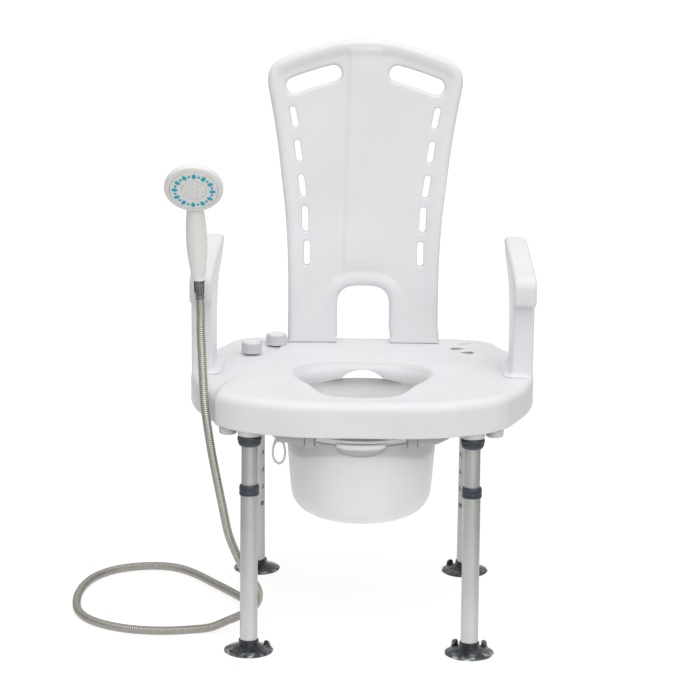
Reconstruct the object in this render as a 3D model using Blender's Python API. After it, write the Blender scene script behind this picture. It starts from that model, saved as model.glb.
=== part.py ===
"""Shower commode chair: moulded seat and backrest, two lift-off arms, four telescopic legs,
a slide-out pail, and a hand shower on a metal hose. Metres, +Z up, front faces -Y."""
import bpy
import bmesh
import math
from mathutils import Matrix, Vector

for old in list(bpy.data.objects):
    bpy.data.objects.remove(old, do_unlink=True)

# ------------------------------------------------------------------ driving dimensions
ORIGIN_SHIFT = (0.0178, -0.0094, 0.0)   # moves the design axes so the row origin is the box's bottom centre
GAP = 0.0003                            # clearance between touching pieces

# seat
SEAT_BOTTOM = 0.361
SEAT_TOP_MID = 0.41293                  # top height at Y = 0
SEAT_FALL = 0.0177                      # the top drops to the rear
SEAT_WALL = 0.0035
SEAT_SKIN = 0.0040
SEAT_EDGE_R = 0.015
SEAT_OUTLINE = [(0.0, -0.229), (0.06, -0.229), (0.11, -0.225), (0.155, -0.212), (0.20, -0.191),
                (0.232, -0.160), (0.252, -0.115), (0.268, -0.070), (0.278, -0.020), (0.279, 0.030),
                (0.272, 0.080), (0.258, 0.125), (0.240, 0.166), (0.218, 0.203), (0.188, 0.2235),
                (0.14, 0.229), (0.07, 0.228), (0.0, 0.227)]
OPEN_SIDE = [(0.0, -0.1706), (0.0150, -0.1700), (0.0340, -0.1665), (0.0475, -0.1580), (0.0569, -0.1460),
             (0.0677, -0.1220), (0.0805, -0.0930), (0.0955, -0.0665), (0.1070, -0.0400), (0.1110, -0.0150),
             (0.1055, 0.0120), (0.0880, 0.0330), (0.0580, 0.0440), (0.0280, 0.0468), (0.0, 0.0472)]
OPEN_WALL_BOTTOM = 0.385
ARCH_R, ARCH_Z = 0.0473, 0.3528

# legs: foot centres on the floor, lean towards the middle
LEG_X_FRONT, LEG_X_REAR = 0.1765, 0.1795
FOOT_Y_FRONT, FOOT_Y_REAR = -0.2045, 0.2100
LEG_LEAN = math.radians(3.8)
UPPER_TUBE = (0.0127, 0.0113, 0.112, 0.405)      # outer r, inner r, from, to along the leg
LOWER_TUBE = (0.0140, 0.0130, 0.0088, 0.262)
HOLE_PITCH, HOLE_R, FIRST_HOLE = 0.031, 0.0042, 0.124
HOLE_TURN = math.radians(42)                     # the hole row faces the seat's middle
FOOT_R = 0.03975
# rim tabs of each foot: turn in degrees, height, half width
TABS = {"front_left": ((35, 0.0092, 0.0078), (215, 0.0092, 0.0066)), "front_right": ((45, 0.0135, 0.0072), (130, 0.0145, 0.0078)),
        "rear_left": ((72, 0.0105, 0.0066), (252, 0.0105, 0.0066)), "rear_right": ((135, 0.0120, 0.0082), (285, 0.0105, 0.0066))}

# backrest
BACK_TILT = math.radians(6)
BACK_THICK = 0.027
BACK_Y, BACK_Z = 0.183, 0.4128                   # front face's lower edge
BACK_SIDE = [(0.1277, 0.4128), (0.1270, 0.470), (0.1271, 0.500), (0.1280, 0.548), (0.1302, 0.595),
             (0.1340, 0.640), (0.1376, 0.670), (0.1427, 0.715), (0.1496, 0.765), (0.1574, 0.810),
             (0.1622, 0.835), (0.1638, 0.850), (0.1618, 0.864), (0.1555, 0.875), (0.1450, 0.8835),
             (0.1262, 0.8915), (0.0942, 0.9025), (0.0650, 0.9110), (0.0362, 0.9165), (0.0, 0.9190)]
LUMBAR = [(0.0455, 0.4128), (0.0440, 0.432), (0.0438, 0.476), (0.0415, 0.489), (0.0355, 0.498),
          (0.0265, 0.5035), (0.0140, 0.5060), (0.0, 0.5064)]
BACK_SLOTS = [((0.122, 0.804), (0.117, 0.773)), ((0.114, 0.748), (0.110, 0.716)),
              ((0.107, 0.691), (0.103, 0.657)), ((0.100, 0.638), (0.099, 0.599)),
              ((0.096, 0.580), (0.096, 0.542))]
BACK_SLOT_R = 0.00525
HAND_SLOT = [(0.1195, 0.8405), (0.1030, 0.8467), (0.0866, 0.8522), (0.0700, 0.8573), (0.0537, 0.8617)]
HAND_SLOT_R = 0.0138

# arms, side profile (Y, Z)
ARM_X0, ARM_X1 = 0.243, 0.277
ARM_TOE = 0.024
ARM_SIDE = [(-0.0350, 0.4142), (-0.0352, 0.470), (-0.0372, 0.500), (-0.0400, 0.5250), (-0.0402, 0.5575),
            (-0.0365, 0.5630), (-0.0290, 0.5652), (0.0500, 0.5697), (0.1300, 0.5737), (0.2000, 0.5768),
            (0.2075, 0.5745), (0.2095, 0.5690), (0.2050, 0.5630), (0.1700, 0.5550), (0.1250, 0.5460),
            (0.0980, 0.5360), (0.0810, 0.5190), (0.0715, 0.4920), (0.0670, 0.4550), (0.0655, 0.4142)]
PAD_X0, PAD_X1 = 0.2420, 0.2785
PAD_SIDE = [(-0.0440, 0.5340), (-0.0570, 0.5340), (-0.0595, 0.5390), (-0.0600, 0.5530), (-0.0590, 0.5670),
            (-0.0545, 0.5765), (-0.0450, 0.5815), (0.0000, 0.5845), (0.0800, 0.5890), (0.1500, 0.5920),
            (0.1950, 0.5933), (0.2100, 0.5920), (0.2165, 0.5870), (0.2170, 0.5810), (0.2120, 0.5780),
            (0.2000, 0.5773), (0.1300, 0.5742), (0.0500, 0.5702), (-0.0292, 0.5657), (-0.0368, 0.5635),
            (-0.0408, 0.5578), (-0.0412, 0.5400)]
SPIGOT = (0.2475, 0.2645, -0.010, 0.040, 0.367)  # x0, x1, y0, y1, lowest z

# pail
PAIL_X, PAIL_Y = 0.0, -0.070
PAIL_OUTER = [(0.0, 0.1960), (0.050, 0.1940), (0.0720, 0.1942), (0.0935, 0.2012), (0.1055, 0.2120),
              (0.1120, 0.2260), (0.1150, 0.2520), (0.1172, 0.2800), (0.1212, 0.3340)]
PAIL_WALL = 0.0022
FLANGE_R, FLANGE_Z0, FLANGE_Z1 = 0.1325, 0.3375, 0.3400

# hand shower
GRIP_LOW = Vector((-0.2610, -0.0840, 0.5795))
GRIP_TOP = Vector((-0.2668, -0.0860, 0.7150))
HEAD = Vector((-0.2670, -0.1230, 0.7360))
HEAD_DIP = math.radians(31)             # the spray face looks down at the sitter
GRIP = [(0.0, 0.0), (0.0098, 0.0), (0.0104, 0.0012), (0.0112, 0.010), (0.0126, 0.020), (0.0142, 0.034),
        (0.0156, 0.050), (0.0161, 0.066), (0.0158, 0.084), (0.0146, 0.100), (0.0134, 0.114),
        (0.0138, 0.126), (0.0150, 0.136), (0.0140, 0.1420), (0.0, 0.1440)]
HOSE_R = 0.0070

# ------------------------------------------------------------------ helpers
FRAME = bpy.data.objects.new("chair_frame", None)
FRAME.location = ORIGIN_SHIFT
bpy.context.scene.collection.objects.link(FRAME)


def finish(name, colour, rough, metal=0.0):
    """A plain surface for one piece."""
    mat = bpy.data.materials.new(name)
    mat.use_nodes = True
    shader = mat.node_tree.nodes["Principled BSDF"]
    shader.inputs["Base Color"].default_value = (*colour, 1.0)
    shader.inputs["Roughness"].default_value = rough
    shader.inputs["Metallic"].default_value = metal
    return mat


WHITE = (0.80, 0.81, 0.82)
PEARL = (0.74, 0.75, 0.77)
GREY = (0.40, 0.41, 0.44)
DARK = (0.045, 0.055, 0.065)
ALU = (0.62, 0.63, 0.62)
STEEL = (0.42, 0.40, 0.36)
TEAL = (0.02, 0.40, 0.60)


def place(name, mesh, look, parent=FRAME, matrix=None, cutter=False):
    """Makes an object of this mesh under its parent, with its own surface."""
    obj = bpy.data.objects.new(name, mesh)
    bpy.context.scene.collection.objects.link(obj)
    obj.parent = parent
    if matrix is not None:
        obj.matrix_local = matrix
    if cutter:
        obj.hide_render = True
        obj.display_type = "WIRE"
    elif look:
        obj.data.materials.append(finish(name + "_finish", *look))
    return obj


def solid(name, bm, smooth=True):
    """Closes a bmesh into a mesh whose faces point outwards."""
    bmesh.ops.remove_doubles(bm, verts=bm.verts[:], dist=1e-7)
    bmesh.ops.recalc_face_normals(bm, faces=bm.faces[:])
    if bm.calc_volume(signed=True) < 0:
        bmesh.ops.reverse_faces(bm, faces=bm.faces[:])
    mesh = bpy.data.meshes.new(name)
    bm.to_mesh(mesh)
    bm.free()
    if smooth:
        mesh.shade_smooth()
        mesh.set_sharp_from_angle(angle=math.radians(35))
    return mesh


def rings_mesh(name, rings, closed=False, smooth=True):
    """Joins a list of rings of points. Closed joins the last to the first, otherwise the ends are capped."""
    bm = bmesh.new()
    loops = []
    for ring in rings:
        loops.append([bm.verts.new(p) for p in ring])
    pairs = list(zip(loops[:-1], loops[1:]))
    if closed:
        pairs.append((loops[-1], loops[0]))
    for low, high in pairs:
        n = len(low)
        for i in range(n):
            j = (i + 1) % n
            bm.faces.new((low[i], low[j], high[j], high[i]))
    if not closed:
        bm.faces.new(loops[0][::-1])
        bm.faces.new(loops[-1])
    return solid(name, bm, smooth)


def turned(name, profile, steps, ring=False):
    """A turned solid about Z from (radius, height) points. A ring's profile is a closed loop."""
    bm = bmesh.new()
    rows = []
    for r, z in profile:
        if r < 1e-6:
            rows.append([bm.verts.new((0.0, 0.0, z))])
        else:
            rows.append([bm.verts.new((r * math.cos(2 * math.pi * i / steps),
                                       r * math.sin(2 * math.pi * i / steps), z)) for i in range(steps)])
    pairs = list(zip(rows[:-1], rows[1:]))
    if ring:
        pairs.append((rows[-1], rows[0]))
    for a, b in pairs:
        for i in range(steps):
            j = (i + 1) % steps
            if len(a) == 1:
                bm.faces.new((a[0], b[i], b[j]))
            elif len(b) == 1:
                bm.faces.new((a[i], b[0], a[j]))
            else:
                bm.faces.new((a[i], a[j], b[j], b[i]))
    return solid(name, bm)


def plate(name, outer, holes, thick, smooth=False):
    """A flat plate from an outline in X, Y with holes, from Z = 0 up to its thickness."""
    bm = bmesh.new()
    for loop in [outer] + holes:
        verts = [bm.verts.new((x, y, 0.0)) for x, y in loop]
        for i in range(len(verts)):
            bm.edges.new((verts[i], verts[(i + 1) % len(verts)]))
    bmesh.ops.triangle_fill(bm, use_beauty=True, use_dissolve=False, edges=bm.edges[:])
    made = bmesh.ops.extrude_face_region(bm, geom=bm.faces[:])
    top = [g for g in made["geom"] if isinstance(g, bmesh.types.BMVert)]
    bmesh.ops.translate(bm, verts=top, vec=(0, 0, thick))
    return solid(name, bm, smooth)


def block(name, low, high):
    """A box between two corners."""
    bm = bmesh.new()
    bmesh.ops.create_cube(bm, size=1.0)
    for v in bm.verts:
        v.co = Vector([(low[k] + high[k]) / 2 + v.co[k] * (high[k] - low[k]) for k in range(3)])
    return solid(name, bm, smooth=False)


def boolean(obj, tool, operation="DIFFERENCE"):
    mod = obj.modifiers.new(operation.lower() + "_" + tool.name, "BOOLEAN")
    mod.operation = operation
    mod.solver = "EXACT"
    mod.object = tool


def bevel(obj, width, segments=2, angle=40):
    mod = obj.modifiers.new("edge_round", "BEVEL")
    mod.width = width
    mod.segments = segments
    mod.limit_method = "ANGLE"
    mod.angle_limit = math.radians(angle)
    mod.harden_normals = False


def axis_matrix(origin, z_dir, x_hint=(1, 0, 0)):
    """A placement whose Z runs along z_dir."""
    z = Vector(z_dir).normalized()
    x = Vector(x_hint)
    x = (x - z * x.dot(z)).normalized()
    y = z.cross(x)
    m = Matrix((x, y, z)).transposed().to_4x4()
    m.translation = Vector(origin)
    return m


def smooth_loop(points, per_span):
    """A closed Catmull-Rom curve through the points."""
    out = []
    n = len(points)
    for i in range(n):
        p0, p1, p2, p3 = (Vector(points[(i + k - 1) % n]) for k in range(4))
        for s in range(per_span):
            t = s / per_span
            out.append(0.5 * ((2 * p1) + (p2 - p0) * t + (2 * p0 - 5 * p1 + 4 * p2 - p3) * t * t
                              + (3 * p1 - p0 - 3 * p2 + p3) * t ** 3))
    return out


def smooth_path(points, per_span):
    """An open centripetal Catmull-Rom curve through the points."""
    pts = [Vector(p) for p in points]
    pts = [pts[0] * 2 - pts[1]] + pts + [pts[-1] * 2 - pts[-2]]
    out = []
    for i in range(len(pts) - 3):
        p0, p1, p2, p3 = pts[i:i + 4]
        t0 = 0.0
        t1 = t0 + (p1 - p0).length ** 0.5
        t2 = t1 + (p2 - p1).length ** 0.5
        t3 = t2 + (p3 - p2).length ** 0.5
        for s in range(per_span):
            t = t1 + (t2 - t1) * s / per_span
            a1 = p0 * ((t1 - t) / (t1 - t0)) + p1 * ((t - t0) / (t1 - t0))
            a2 = p1 * ((t2 - t) / (t2 - t1)) + p2 * ((t - t1) / (t2 - t1))
            a3 = p2 * ((t3 - t) / (t3 - t2)) + p3 * ((t - t2) / (t3 - t2))
            b1 = a1 * ((t2 - t) / (t2 - t0)) + a2 * ((t - t0) / (t2 - t0))
            b2 = a2 * ((t3 - t) / (t3 - t1)) + a3 * ((t - t1) / (t3 - t1))
            out.append(b1 * ((t2 - t) / (t2 - t1)) + b2 * ((t - t1) / (t2 - t1)))
    out.append(pts[-2])
    return out


def even(points, step):
    """Points at an even distance along a path."""
    total = sum((b - a).length for a, b in zip(points[:-1], points[1:]))
    count = max(2, round(total / step))
    out, walked, target, k = [points[0]], 0.0, total / count, 0
    for a, b in zip(points[:-1], points[1:]):
        length = (b - a).length
        while walked + length >= target - 1e-9 and len(out) < count:
            out.append(a + (b - a) * ((target - walked) / length))
            target += total / count
        walked += length
    out.append(points[-1])
    return out


# ------------------------------------------------------------------ seat
def seat_top(y):
    return SEAT_TOP_MID - SEAT_FALL * y


def polar_sampler(loop, centre):
    """Radius of a closed outline by direction from a centre, with the outward normal there."""
    rows = []
    n = len(loop)
    for i, p in enumerate(loop):
        d = p - centre
        tangent = loop[(i + 1) % n] - loop[i - 1]
        normal = Vector((tangent.y, -tangent.x)).normalized()
        if normal.dot(d) < 0:
            normal = -normal
        rows.append((math.atan2(d.y, d.x), p, normal))
    rows.sort(key=lambda row: row[0])

    def at(angle):
        angle = (angle + math.pi) % (2 * math.pi) - math.pi
        for k in range(len(rows)):
            a0, p0, n0 = rows[k - 1]
            a1, p1, n1 = rows[k]
            if k == 0:
                a0 -= 2 * math.pi
                if angle > rows[-1][0]:
                    continue
            if a0 <= angle <= a1:
                f = (angle - a0) / max(a1 - a0, 1e-9)
                return p0.lerp(p1, f), n0.lerp(n1, f).normalized()
        f = (angle - rows[-1][0]) / (rows[0][0] + 2 * math.pi - rows[-1][0])
        return rows[-1][1].lerp(rows[0][1], f), rows[-1][2].lerp(rows[0][2], f).normalized()
    return at


def make_seat():
    centre = Vector((0.0, -0.06))
    half = [Vector(p) for p in SEAT_OUTLINE]
    outline = half + [Vector((-p.x, p.y)) for p in half[-2:0:-1]]
    outer = polar_sampler(smooth_loop(outline, 12), centre)
    rim = [Vector(p) for p in OPEN_SIDE]
    rim += [Vector((-p.x, p.y)) for p in rim[-2:0:-1]]
    inner = polar_sampler(smooth_loop(rim, 12), centre)
    count = 56
    r, e = SEAT_EDGE_R, 0.010

    def ring(side, inset, height):
        pts = []
        for k in range(count):
            p, n = side(2 * math.pi * (k + 0.5) / count)
            q = p - n * inset if side is outer else p + n * inset
            pts.append((q.x, q.y, height(q.y)))
        return pts

    def below(d):
        return lambda y: seat_top(y) - d

    def flat(z):
        return lambda y: z

    rings = [ring(outer, 0.0, flat(SEAT_BOTTOM)), ring(outer, 0.0, below(r))]
    for a in (30, 60, 90):
        rings.append(ring(outer, r * (1 - math.cos(math.radians(a))), below(r * (1 - math.sin(math.radians(a))))))
    for a in (90, 50, 0):
        rings.append(ring(inner, e * (1 - math.cos(math.radians(a))), below(e * (1 - math.sin(math.radians(a))))))
    rings.append(ring(inner, 0.0, flat(OPEN_WALL_BOTTOM)))
    rings.append(ring(inner, SEAT_WALL, flat(OPEN_WALL_BOTTOM)))
    rings.append(ring(inner, SEAT_WALL + 0.001, below(SEAT_SKIN)))
    rings.append(ring(outer, 0.012, below(SEAT_SKIN)))
    rings.append(ring(outer, SEAT_WALL, below(r)))
    rings.append(ring(outer, SEAT_WALL, flat(SEAT_BOTTOM)))
    seat = place("seat", rings_mesh("seat", rings, closed=True), (WHITE, 0.28))
    return seat


seat = make_seat()

# leg axes
LEGS = {"front_left": (-1, -1), "front_right": (1, -1), "rear_left": (-1, 1), "rear_right": (1, 1)}
leg_axis = {}
for key, (sx, sy) in LEGS.items():
    empty = bpy.data.objects.new("leg_axis_" + key, None)
    bpy.context.scene.collection.objects.link(empty)
    empty.parent = FRAME
    empty.location = (sx * (LEG_X_FRONT if sy < 0 else LEG_X_REAR), FOOT_Y_FRONT if sy < 0 else FOOT_Y_REAR, 0.0)
    empty.rotation_euler = (sy * LEG_LEAN, 0.0, 0.0)
    leg_axis[key] = empty
    # moulded boss under the seat that takes the leg, and its blind bore
    boss = place("boss_" + key, turned("boss", [(0.0, 0.3515), (0.0182, 0.3515), (0.0195, 0.3545),
                                                (0.0200, 0.4105), (0.0, 0.4105)], 16), None, empty, cutter=True)
    boolean(seat, boss, "UNION")
for key in LEGS:
    bore = place("bore_" + key, turned("bore", [(0.0, 0.340), (UPPER_TUBE[0] + GAP, 0.340),
                                                (UPPER_TUBE[0] + GAP, UPPER_TUBE[3] + GAP),
                                                (0.0, UPPER_TUBE[3] + GAP)], 16), None, leg_axis[key], cutter=True)
    boolean(seat, bore)

# arm sockets, one each side
for side, sx in (("left", -1), ("right", 1)):
    x0, x1, y0, y1, z0 = SPIGOT
    xs = sorted((sx * (x0 - 0.004), sx * (x1 + 0.004)))
    socket = place("socket_" + side, block("socket", (xs[0], y0 - 0.004, z0 - 0.002), (xs[1], y1 + 0.004, 0.4105)),
                   None, cutter=True)
    boolean(seat, socket, "UNION")
for side, sx in (("left", -1), ("right", 1)):
    xs = sorted((sx * (x0 - GAP), sx * (x1 + GAP)))
    mouth = place("mouth_" + side, block("mouth", (xs[0], y0 - GAP, 0.355), (xs[1], y1 + GAP, 0.43)), None, cutter=True)
    boolean(seat, mouth)

# arched notch at the rear of the opening's inner wall
arch = place("arch", turned("arch", [(0.0, 0.0), (ARCH_R, 0.0), (ARCH_R, 0.035), (0.0, 0.035)], 24), None,
             matrix=axis_matrix((0, 0.030, ARCH_Z), (0, 1, 0)), cutter=True)
boolean(seat, arch)

# drain slots in the rear right oval
for k, (cx, cy) in enumerate(((0.160, 0.158), (0.174, 0.130))):
    # a wedge that opens to 12 mm at one end
    side = -1 if k == 0 else 1
    wedge = [(side * x + cx, cy + y) for x, y in ((-0.0125, -0.0012), (-0.0125, 0.0012), (0.0070, 0.0082), (0.0110, 0.0066),
                                                 (0.0125, 0.0030), (0.0125, -0.0030), (0.0110, -0.0066), (0.0070, -0.0082))]
    slot = place("drain_%d" % k, plate("drain", wedge, [], 0.04), None, matrix=Matrix.Translation((0, 0, 0.39)), cutter=True)
    boolean(seat, slot)

# ------------------------------------------------------------------ backrest
back_frame = axis_matrix((0.0, BACK_Y, BACK_Z), (0, -math.cos(BACK_TILT), math.sin(BACK_TILT)))
back_up = (math.cos(BACK_TILT))


def on_back(x, z):
    """Panel coordinates of a point given by its X and its height on the front face."""
    return (x, (z - BACK_Z) / back_up)


def capsule(a, b, r, steps=6):
    a, b = Vector(a), Vector(b)
    d = (b - a).normalized()
    start = math.atan2(d.y, d.x)
    out = []
    for centre, turn in ((b, start - math.pi / 2), (a, start + math.pi / 2)):
        for i in range(steps + 1):
            t = turn + math.pi * i / steps
            out.append((centre.x + r * math.cos(t), centre.y + r * math.sin(t)))
    return out


def stadium(path, r, steps=6):
    """A band of even width around an open path."""
    pts = [Vector(p) for p in path]
    left, right = [], []
    for i, p in enumerate(pts):
        d = (pts[min(i + 1, len(pts) - 1)] - pts[max(i - 1, 0)]).normalized()
        n = Vector((-d.y, d.x))
        left.append(p + n * r)
        right.append(p - n * r)

    def cap(centre, d):
        start = math.atan2(d.y, d.x) - math.pi / 2
        return [centre + Vector((math.cos(start + math.pi * i / steps), math.sin(start + math.pi * i / steps))) * r
                for i in range(1, steps)]
    end = cap(pts[-1], (pts[-1] - pts[-2]).normalized())
    begin = cap(pts[0], (pts[0] - pts[1]).normalized())
    return [(p.x, p.y) for p in right + end + left[::-1] + begin]


side = [on_back(*p) for p in BACK_SIDE]
arch_side = [on_back(*p) for p in LUMBAR]
outline = ([p for p in side] + [(-x, y) for x, y in side[-2::-1]]
           + [(-x, y) for x, y in arch_side] + [p for p in arch_side[-2::-1]])
holes = []
for sx in (-1, 1):
    for (xa, za), (xb, zb) in BACK_SLOTS:
        holes.append(capsule(on_back(sx * xb, zb + 0.003), on_back(sx * xa, za - 0.003), BACK_SLOT_R))
    holes.append(stadium([on_back(sx * x, z) for x, z in HAND_SLOT], HAND_SLOT_R))
back_mesh = plate("backrest", outline, holes, BACK_THICK)
# the plate grows towards the rear from its front face
for v in back_mesh.vertices:
    v.co.z -= BACK_THICK
backrest = place("backrest", back_mesh, (PEARL, 0.32), matrix=back_frame)
TONGUE = (0.054, 0.116, 0.0055, 0.0215, 0.047)     # x0, x1, front and rear depth, length
for sname, sx in (("left", -1), ("right", 1)):
    xs = sorted((sx * TONGUE[0], sx * TONGUE[1]))
    tongue = place("tongue_" + sname, block("tongue", (xs[0], -TONGUE[4], -TONGUE[3]), (xs[1], 0.010, -TONGUE[2])),
                   None, matrix=back_frame, cutter=True)
    boolean(backrest, tongue, "UNION")
    mouth = place("tongue_mouth_" + sname, block("tongue_mouth", (xs[0] - GAP, -0.030, -TONGUE[3] - GAP),
                                                 (xs[1] + GAP, 0.020, -TONGUE[2] + GAP)),
                  None, matrix=back_frame, cutter=True)
    boolean(seat, mouth)

# ------------------------------------------------------------------ arms
for sname, sx in (("left", -1), ("right", 1)):
    def arm_solid(name, side_profile, x0, x1):
        """Extrudes a side profile across the arm's width, toed in towards the rear."""
        mesh = plate(name, side_profile, [], x1 - x0)
        for v in mesh.vertices:
            y, z, x = v.co.x, v.co.y, x0 + v.co.z
            v.co = (sx * (x - max(0.0, y + 0.05) * ARM_TOE), y, z)
        bm = bmesh.new()
        bm.from_mesh(mesh)
        bpy.data.meshes.remove(mesh)
        return solid(name, bm, smooth=False)

    arm = place("arm_frame_" + sname, arm_solid("arm_frame", ARM_SIDE, ARM_X0, ARM_X1), (WHITE, 0.30))
    bevel(arm, 0.004, 2)
    x0, x1, y0, y1, z0 = SPIGOT
    xs = sorted((sx * x0, sx * x1))
    spigot = place("spigot_" + sname, block("spigot", (xs[0], y0, z0), (xs[1], y1, 0.450)), None, cutter=True)
    boolean(arm, spigot, "UNION")
    pad = place("arm_pad_" + sname, arm_solid("arm_pad", PAD_SIDE, PAD_X0, PAD_X1), (WHITE, 0.34))
    bevel(pad, 0.0035, 2, 50)

# ------------------------------------------------------------------ legs
def tube(name, outer_r, inner_r, z0, z1, steps=16):
    return turned(name, [(outer_r, z0), (outer_r, z1), (inner_r, z1), (inner_r, z0)], steps, ring=True)


for key, (sx, sy) in LEGS.items():
    axis = leg_axis[key]
    # the hole row looks inwards and towards the seat's middle
    turn = math.atan2(-sy * math.sin(HOLE_TURN), -sx * math.cos(HOLE_TURN))
    upper = place("leg_upper_tube_" + key, tube("upper_tube", *UPPER_TUBE), (ALU, 0.35, 0.9), axis)
    drill = place("button_hole_" + key, turned("button_hole", [(0.0, 0.0), (0.0037, 0.0), (0.0037, 0.02), (0.0, 0.02)], 8),
                  None, axis, axis_matrix((0, 0, FIRST_HOLE), (math.cos(turn), math.sin(turn), 0), (0, 0, 1)), True)
    boolean(upper, drill)
    lower = place("leg_lower_tube_" + key, tube("lower_tube", *LOWER_TUBE), (ALU, 0.35, 0.9), axis)
    for k in range(4):
        z = FIRST_HOLE + k * HOLE_PITCH
        drill = place("hole_%s_%d" % (key, k), turned("hole", [(0.0, 0.004), (HOLE_R, 0.004), (HOLE_R, 0.02), (0.0, 0.02)], 8),
                      None, axis, axis_matrix((0, 0, z), (math.cos(turn), math.sin(turn), 0), (0, 0, 1)), True)
        boolean(lower, drill)
    place("upper_collar_" + key, turned("upper_collar", [
        (0.0131, 0.3357), (0.0162, 0.3357), (0.0176, 0.3377), (0.0190, 0.3427), (0.0194, 0.3477),
        (0.0188, 0.3511), (0.0131, 0.3511)], 16, ring=True), (DARK, 0.45), axis)
    place("lower_collar_" + key, turned("lower_collar", [
        (0.0144, 0.2558), (0.0156, 0.2558), (0.0160, 0.2578), (0.0160, 0.2696), (0.0150, 0.2730),
        (0.0130, 0.2730), (0.0130, 0.2624), (0.0144, 0.2624)], 16, ring=True), (DARK, 0.45), axis)
    button = place("snap_button_" + key, turned("snap_button", [
        (0.0, 0.0078), (0.0032, 0.0078), (0.0032, 0.0116), (0.0022, 0.0123), (0.0, 0.0123)], 12),
        (STEEL, 0.3, 1.0), axis,
        axis_matrix((0, 0, FIRST_HOLE), (math.cos(turn), math.sin(turn), 0), (0, 0, 1)))
    leaf = place("leaf_" + key, block("leaf", (-0.004, -0.0035, 0.0074), (0.026, 0.0035, 0.0082)), None, axis,
                 axis_matrix((0, 0, FIRST_HOLE), (math.cos(turn), math.sin(turn), 0), (0, 0, 1)), True)
    boolean(button, leaf, "UNION")

    # rubber foot: a flat suction cup with a leaning sleeve
    foot_at = Matrix.Translation((sx * (LEG_X_FRONT if sy < 0 else LEG_X_REAR), FOOT_Y_FRONT if sy < 0 else FOOT_Y_REAR, 0.0))
    foot = place("foot_" + key, turned("foot", [
        (0.0, 0.0030), (0.0250, 0.0022), (0.0310, 0.0), (0.0392, 0.0), (FOOT_R, 0.0008), (0.0385, 0.0020),
        (0.0300, 0.0052), (0.0220, 0.0085), (0.0185, 0.0100), (0.0, 0.0100)], 24), (DARK, 0.35), matrix=foot_at)
    sleeve = place("sleeve_" + key, turned("sleeve", [(0.0, 0.0050), (0.0178, 0.0060), (0.0165, 0.0110),
                                                      (0.0157, 0.0180), (0.0151, 0.0190), (0.0, 0.0190)], 16),
                   None, axis, cutter=True)
    boolean(foot, sleeve, "UNION")
    for k, (ang, high, wide) in enumerate(TABS[key]):
        a = math.radians(ang)
        tab = place("tab_%s_%d" % (key, k), block("tab", (0.0345, -wide, 0.0008), (0.0375, wide, high)),
                    None, matrix=foot_at @ Matrix.Rotation(a, 4, "Z"), cutter=True)
        boolean(foot, tab, "UNION")
    well = place("well_" + key, turned("well", [(0.0, LOWER_TUBE[2] - GAP), (LOWER_TUBE[0] + GAP, LOWER_TUBE[2] - GAP),
                                                (LOWER_TUBE[0] + GAP, 0.05), (0.0, 0.05)], 16), None, axis, cutter=True)
    boolean(foot, well)

# grey bumpers under the seat's front corners
for sname, sx in (("left", -1), ("right", 1)):
    place("seat_bumper_" + sname, turned("seat_bumper", [
        (0.0, 0.3485), (0.0125, 0.3485), (0.0143, 0.3500), (0.0145, 0.3598), (0.0095, 0.3606), (0.0050, 0.3640),
        (0.0050, 0.4080), (0.0, 0.4080)], 16), (GREY, 0.5), matrix=Matrix.Translation((sx * 0.2115, -0.160, 0.0)))

# ------------------------------------------------------------------ pail, its rails and the splash ring
profile = list(PAIL_OUTER) + [(0.1218, FLANGE_Z0), (FLANGE_R - 0.0008, FLANGE_Z0), (FLANGE_R, FLANGE_Z0 + 0.0009),
                              (FLANGE_R - 0.0004, FLANGE_Z1), (0.1200, FLANGE_Z1)]
for r, z in reversed(PAIL_OUTER[1:-1]):
    profile.append((r - PAIL_WALL, max(z, 0.1963) + (0.0004 if z < 0.203 else 0.0)))
profile.append((0.0, 0.1982))
pail_at = Matrix.Translation((PAIL_X, PAIL_Y, 0.0))
pail = place("pail", turned("pail", profile, 36), (WHITE, 0.35), matrix=pail_at)
lip = place("pail_lip", block("pail_lip", (-0.048, -0.2130, 0.3340), (0.048, -0.1950, 0.3400)), None, cutter=True)
boolean(pail, lip, "UNION")
EYE = Vector((-0.1330, PAIL_Y, 0.3150))
ear = place("pail_ear", block("pail_ear", (-0.1355, PAIL_Y - 0.0050, 0.3110), (-0.1190, PAIL_Y - 0.0022, 0.3190)), None, cutter=True)
boolean(pail, ear, "UNION")
stub = place("ear_pin", turned("ear_pin", [(0.0, 0.0), (0.0018, 0.0), (0.0018, 0.0052), (0.0, 0.0052)], 12), None,
             matrix=axis_matrix((EYE.x, PAIL_Y - 0.0035, EYE.z), (0, 1, 0)), cutter=True)
boolean(pail, stub, "UNION")

# D-shaped loop that hangs on the ear's pin
loop_outer = [(0.0, 0.0042), (-0.0052, 0.0028), (-0.0092, -0.0060), (-0.0118, -0.0200), (-0.0112, -0.0330),
              (-0.0060, -0.0420), (0.0010, -0.0445), (0.0075, -0.0400), (0.0110, -0.0300), (0.0112, -0.0200),
              (0.0080, -0.0060), (0.0050, 0.0028)]
loop_inner = [(0.0, -0.0060), (-0.0058, -0.0085), (-0.0088, -0.0200), (-0.0084, -0.0318), (-0.0044, -0.0392),
              (0.0010, -0.0413), (0.0056, -0.0378), (0.0082, -0.0292), (0.0084, -0.0200), (0.0058, -0.0085)]
eye_hole = [(0.0021 * math.cos(2 * math.pi * i / 12), 0.0021 * math.sin(2 * math.pi * i / 12)) for i in range(12)]
loop_mesh = plate("pail_handle", loop_outer, [loop_inner, eye_hole], 0.0026)
place("pail_handle", loop_mesh, (WHITE, 0.35), matrix=axis_matrix((EYE.x, PAIL_Y + 0.0010, EYE.z), (0, -1, 0)))

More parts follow.
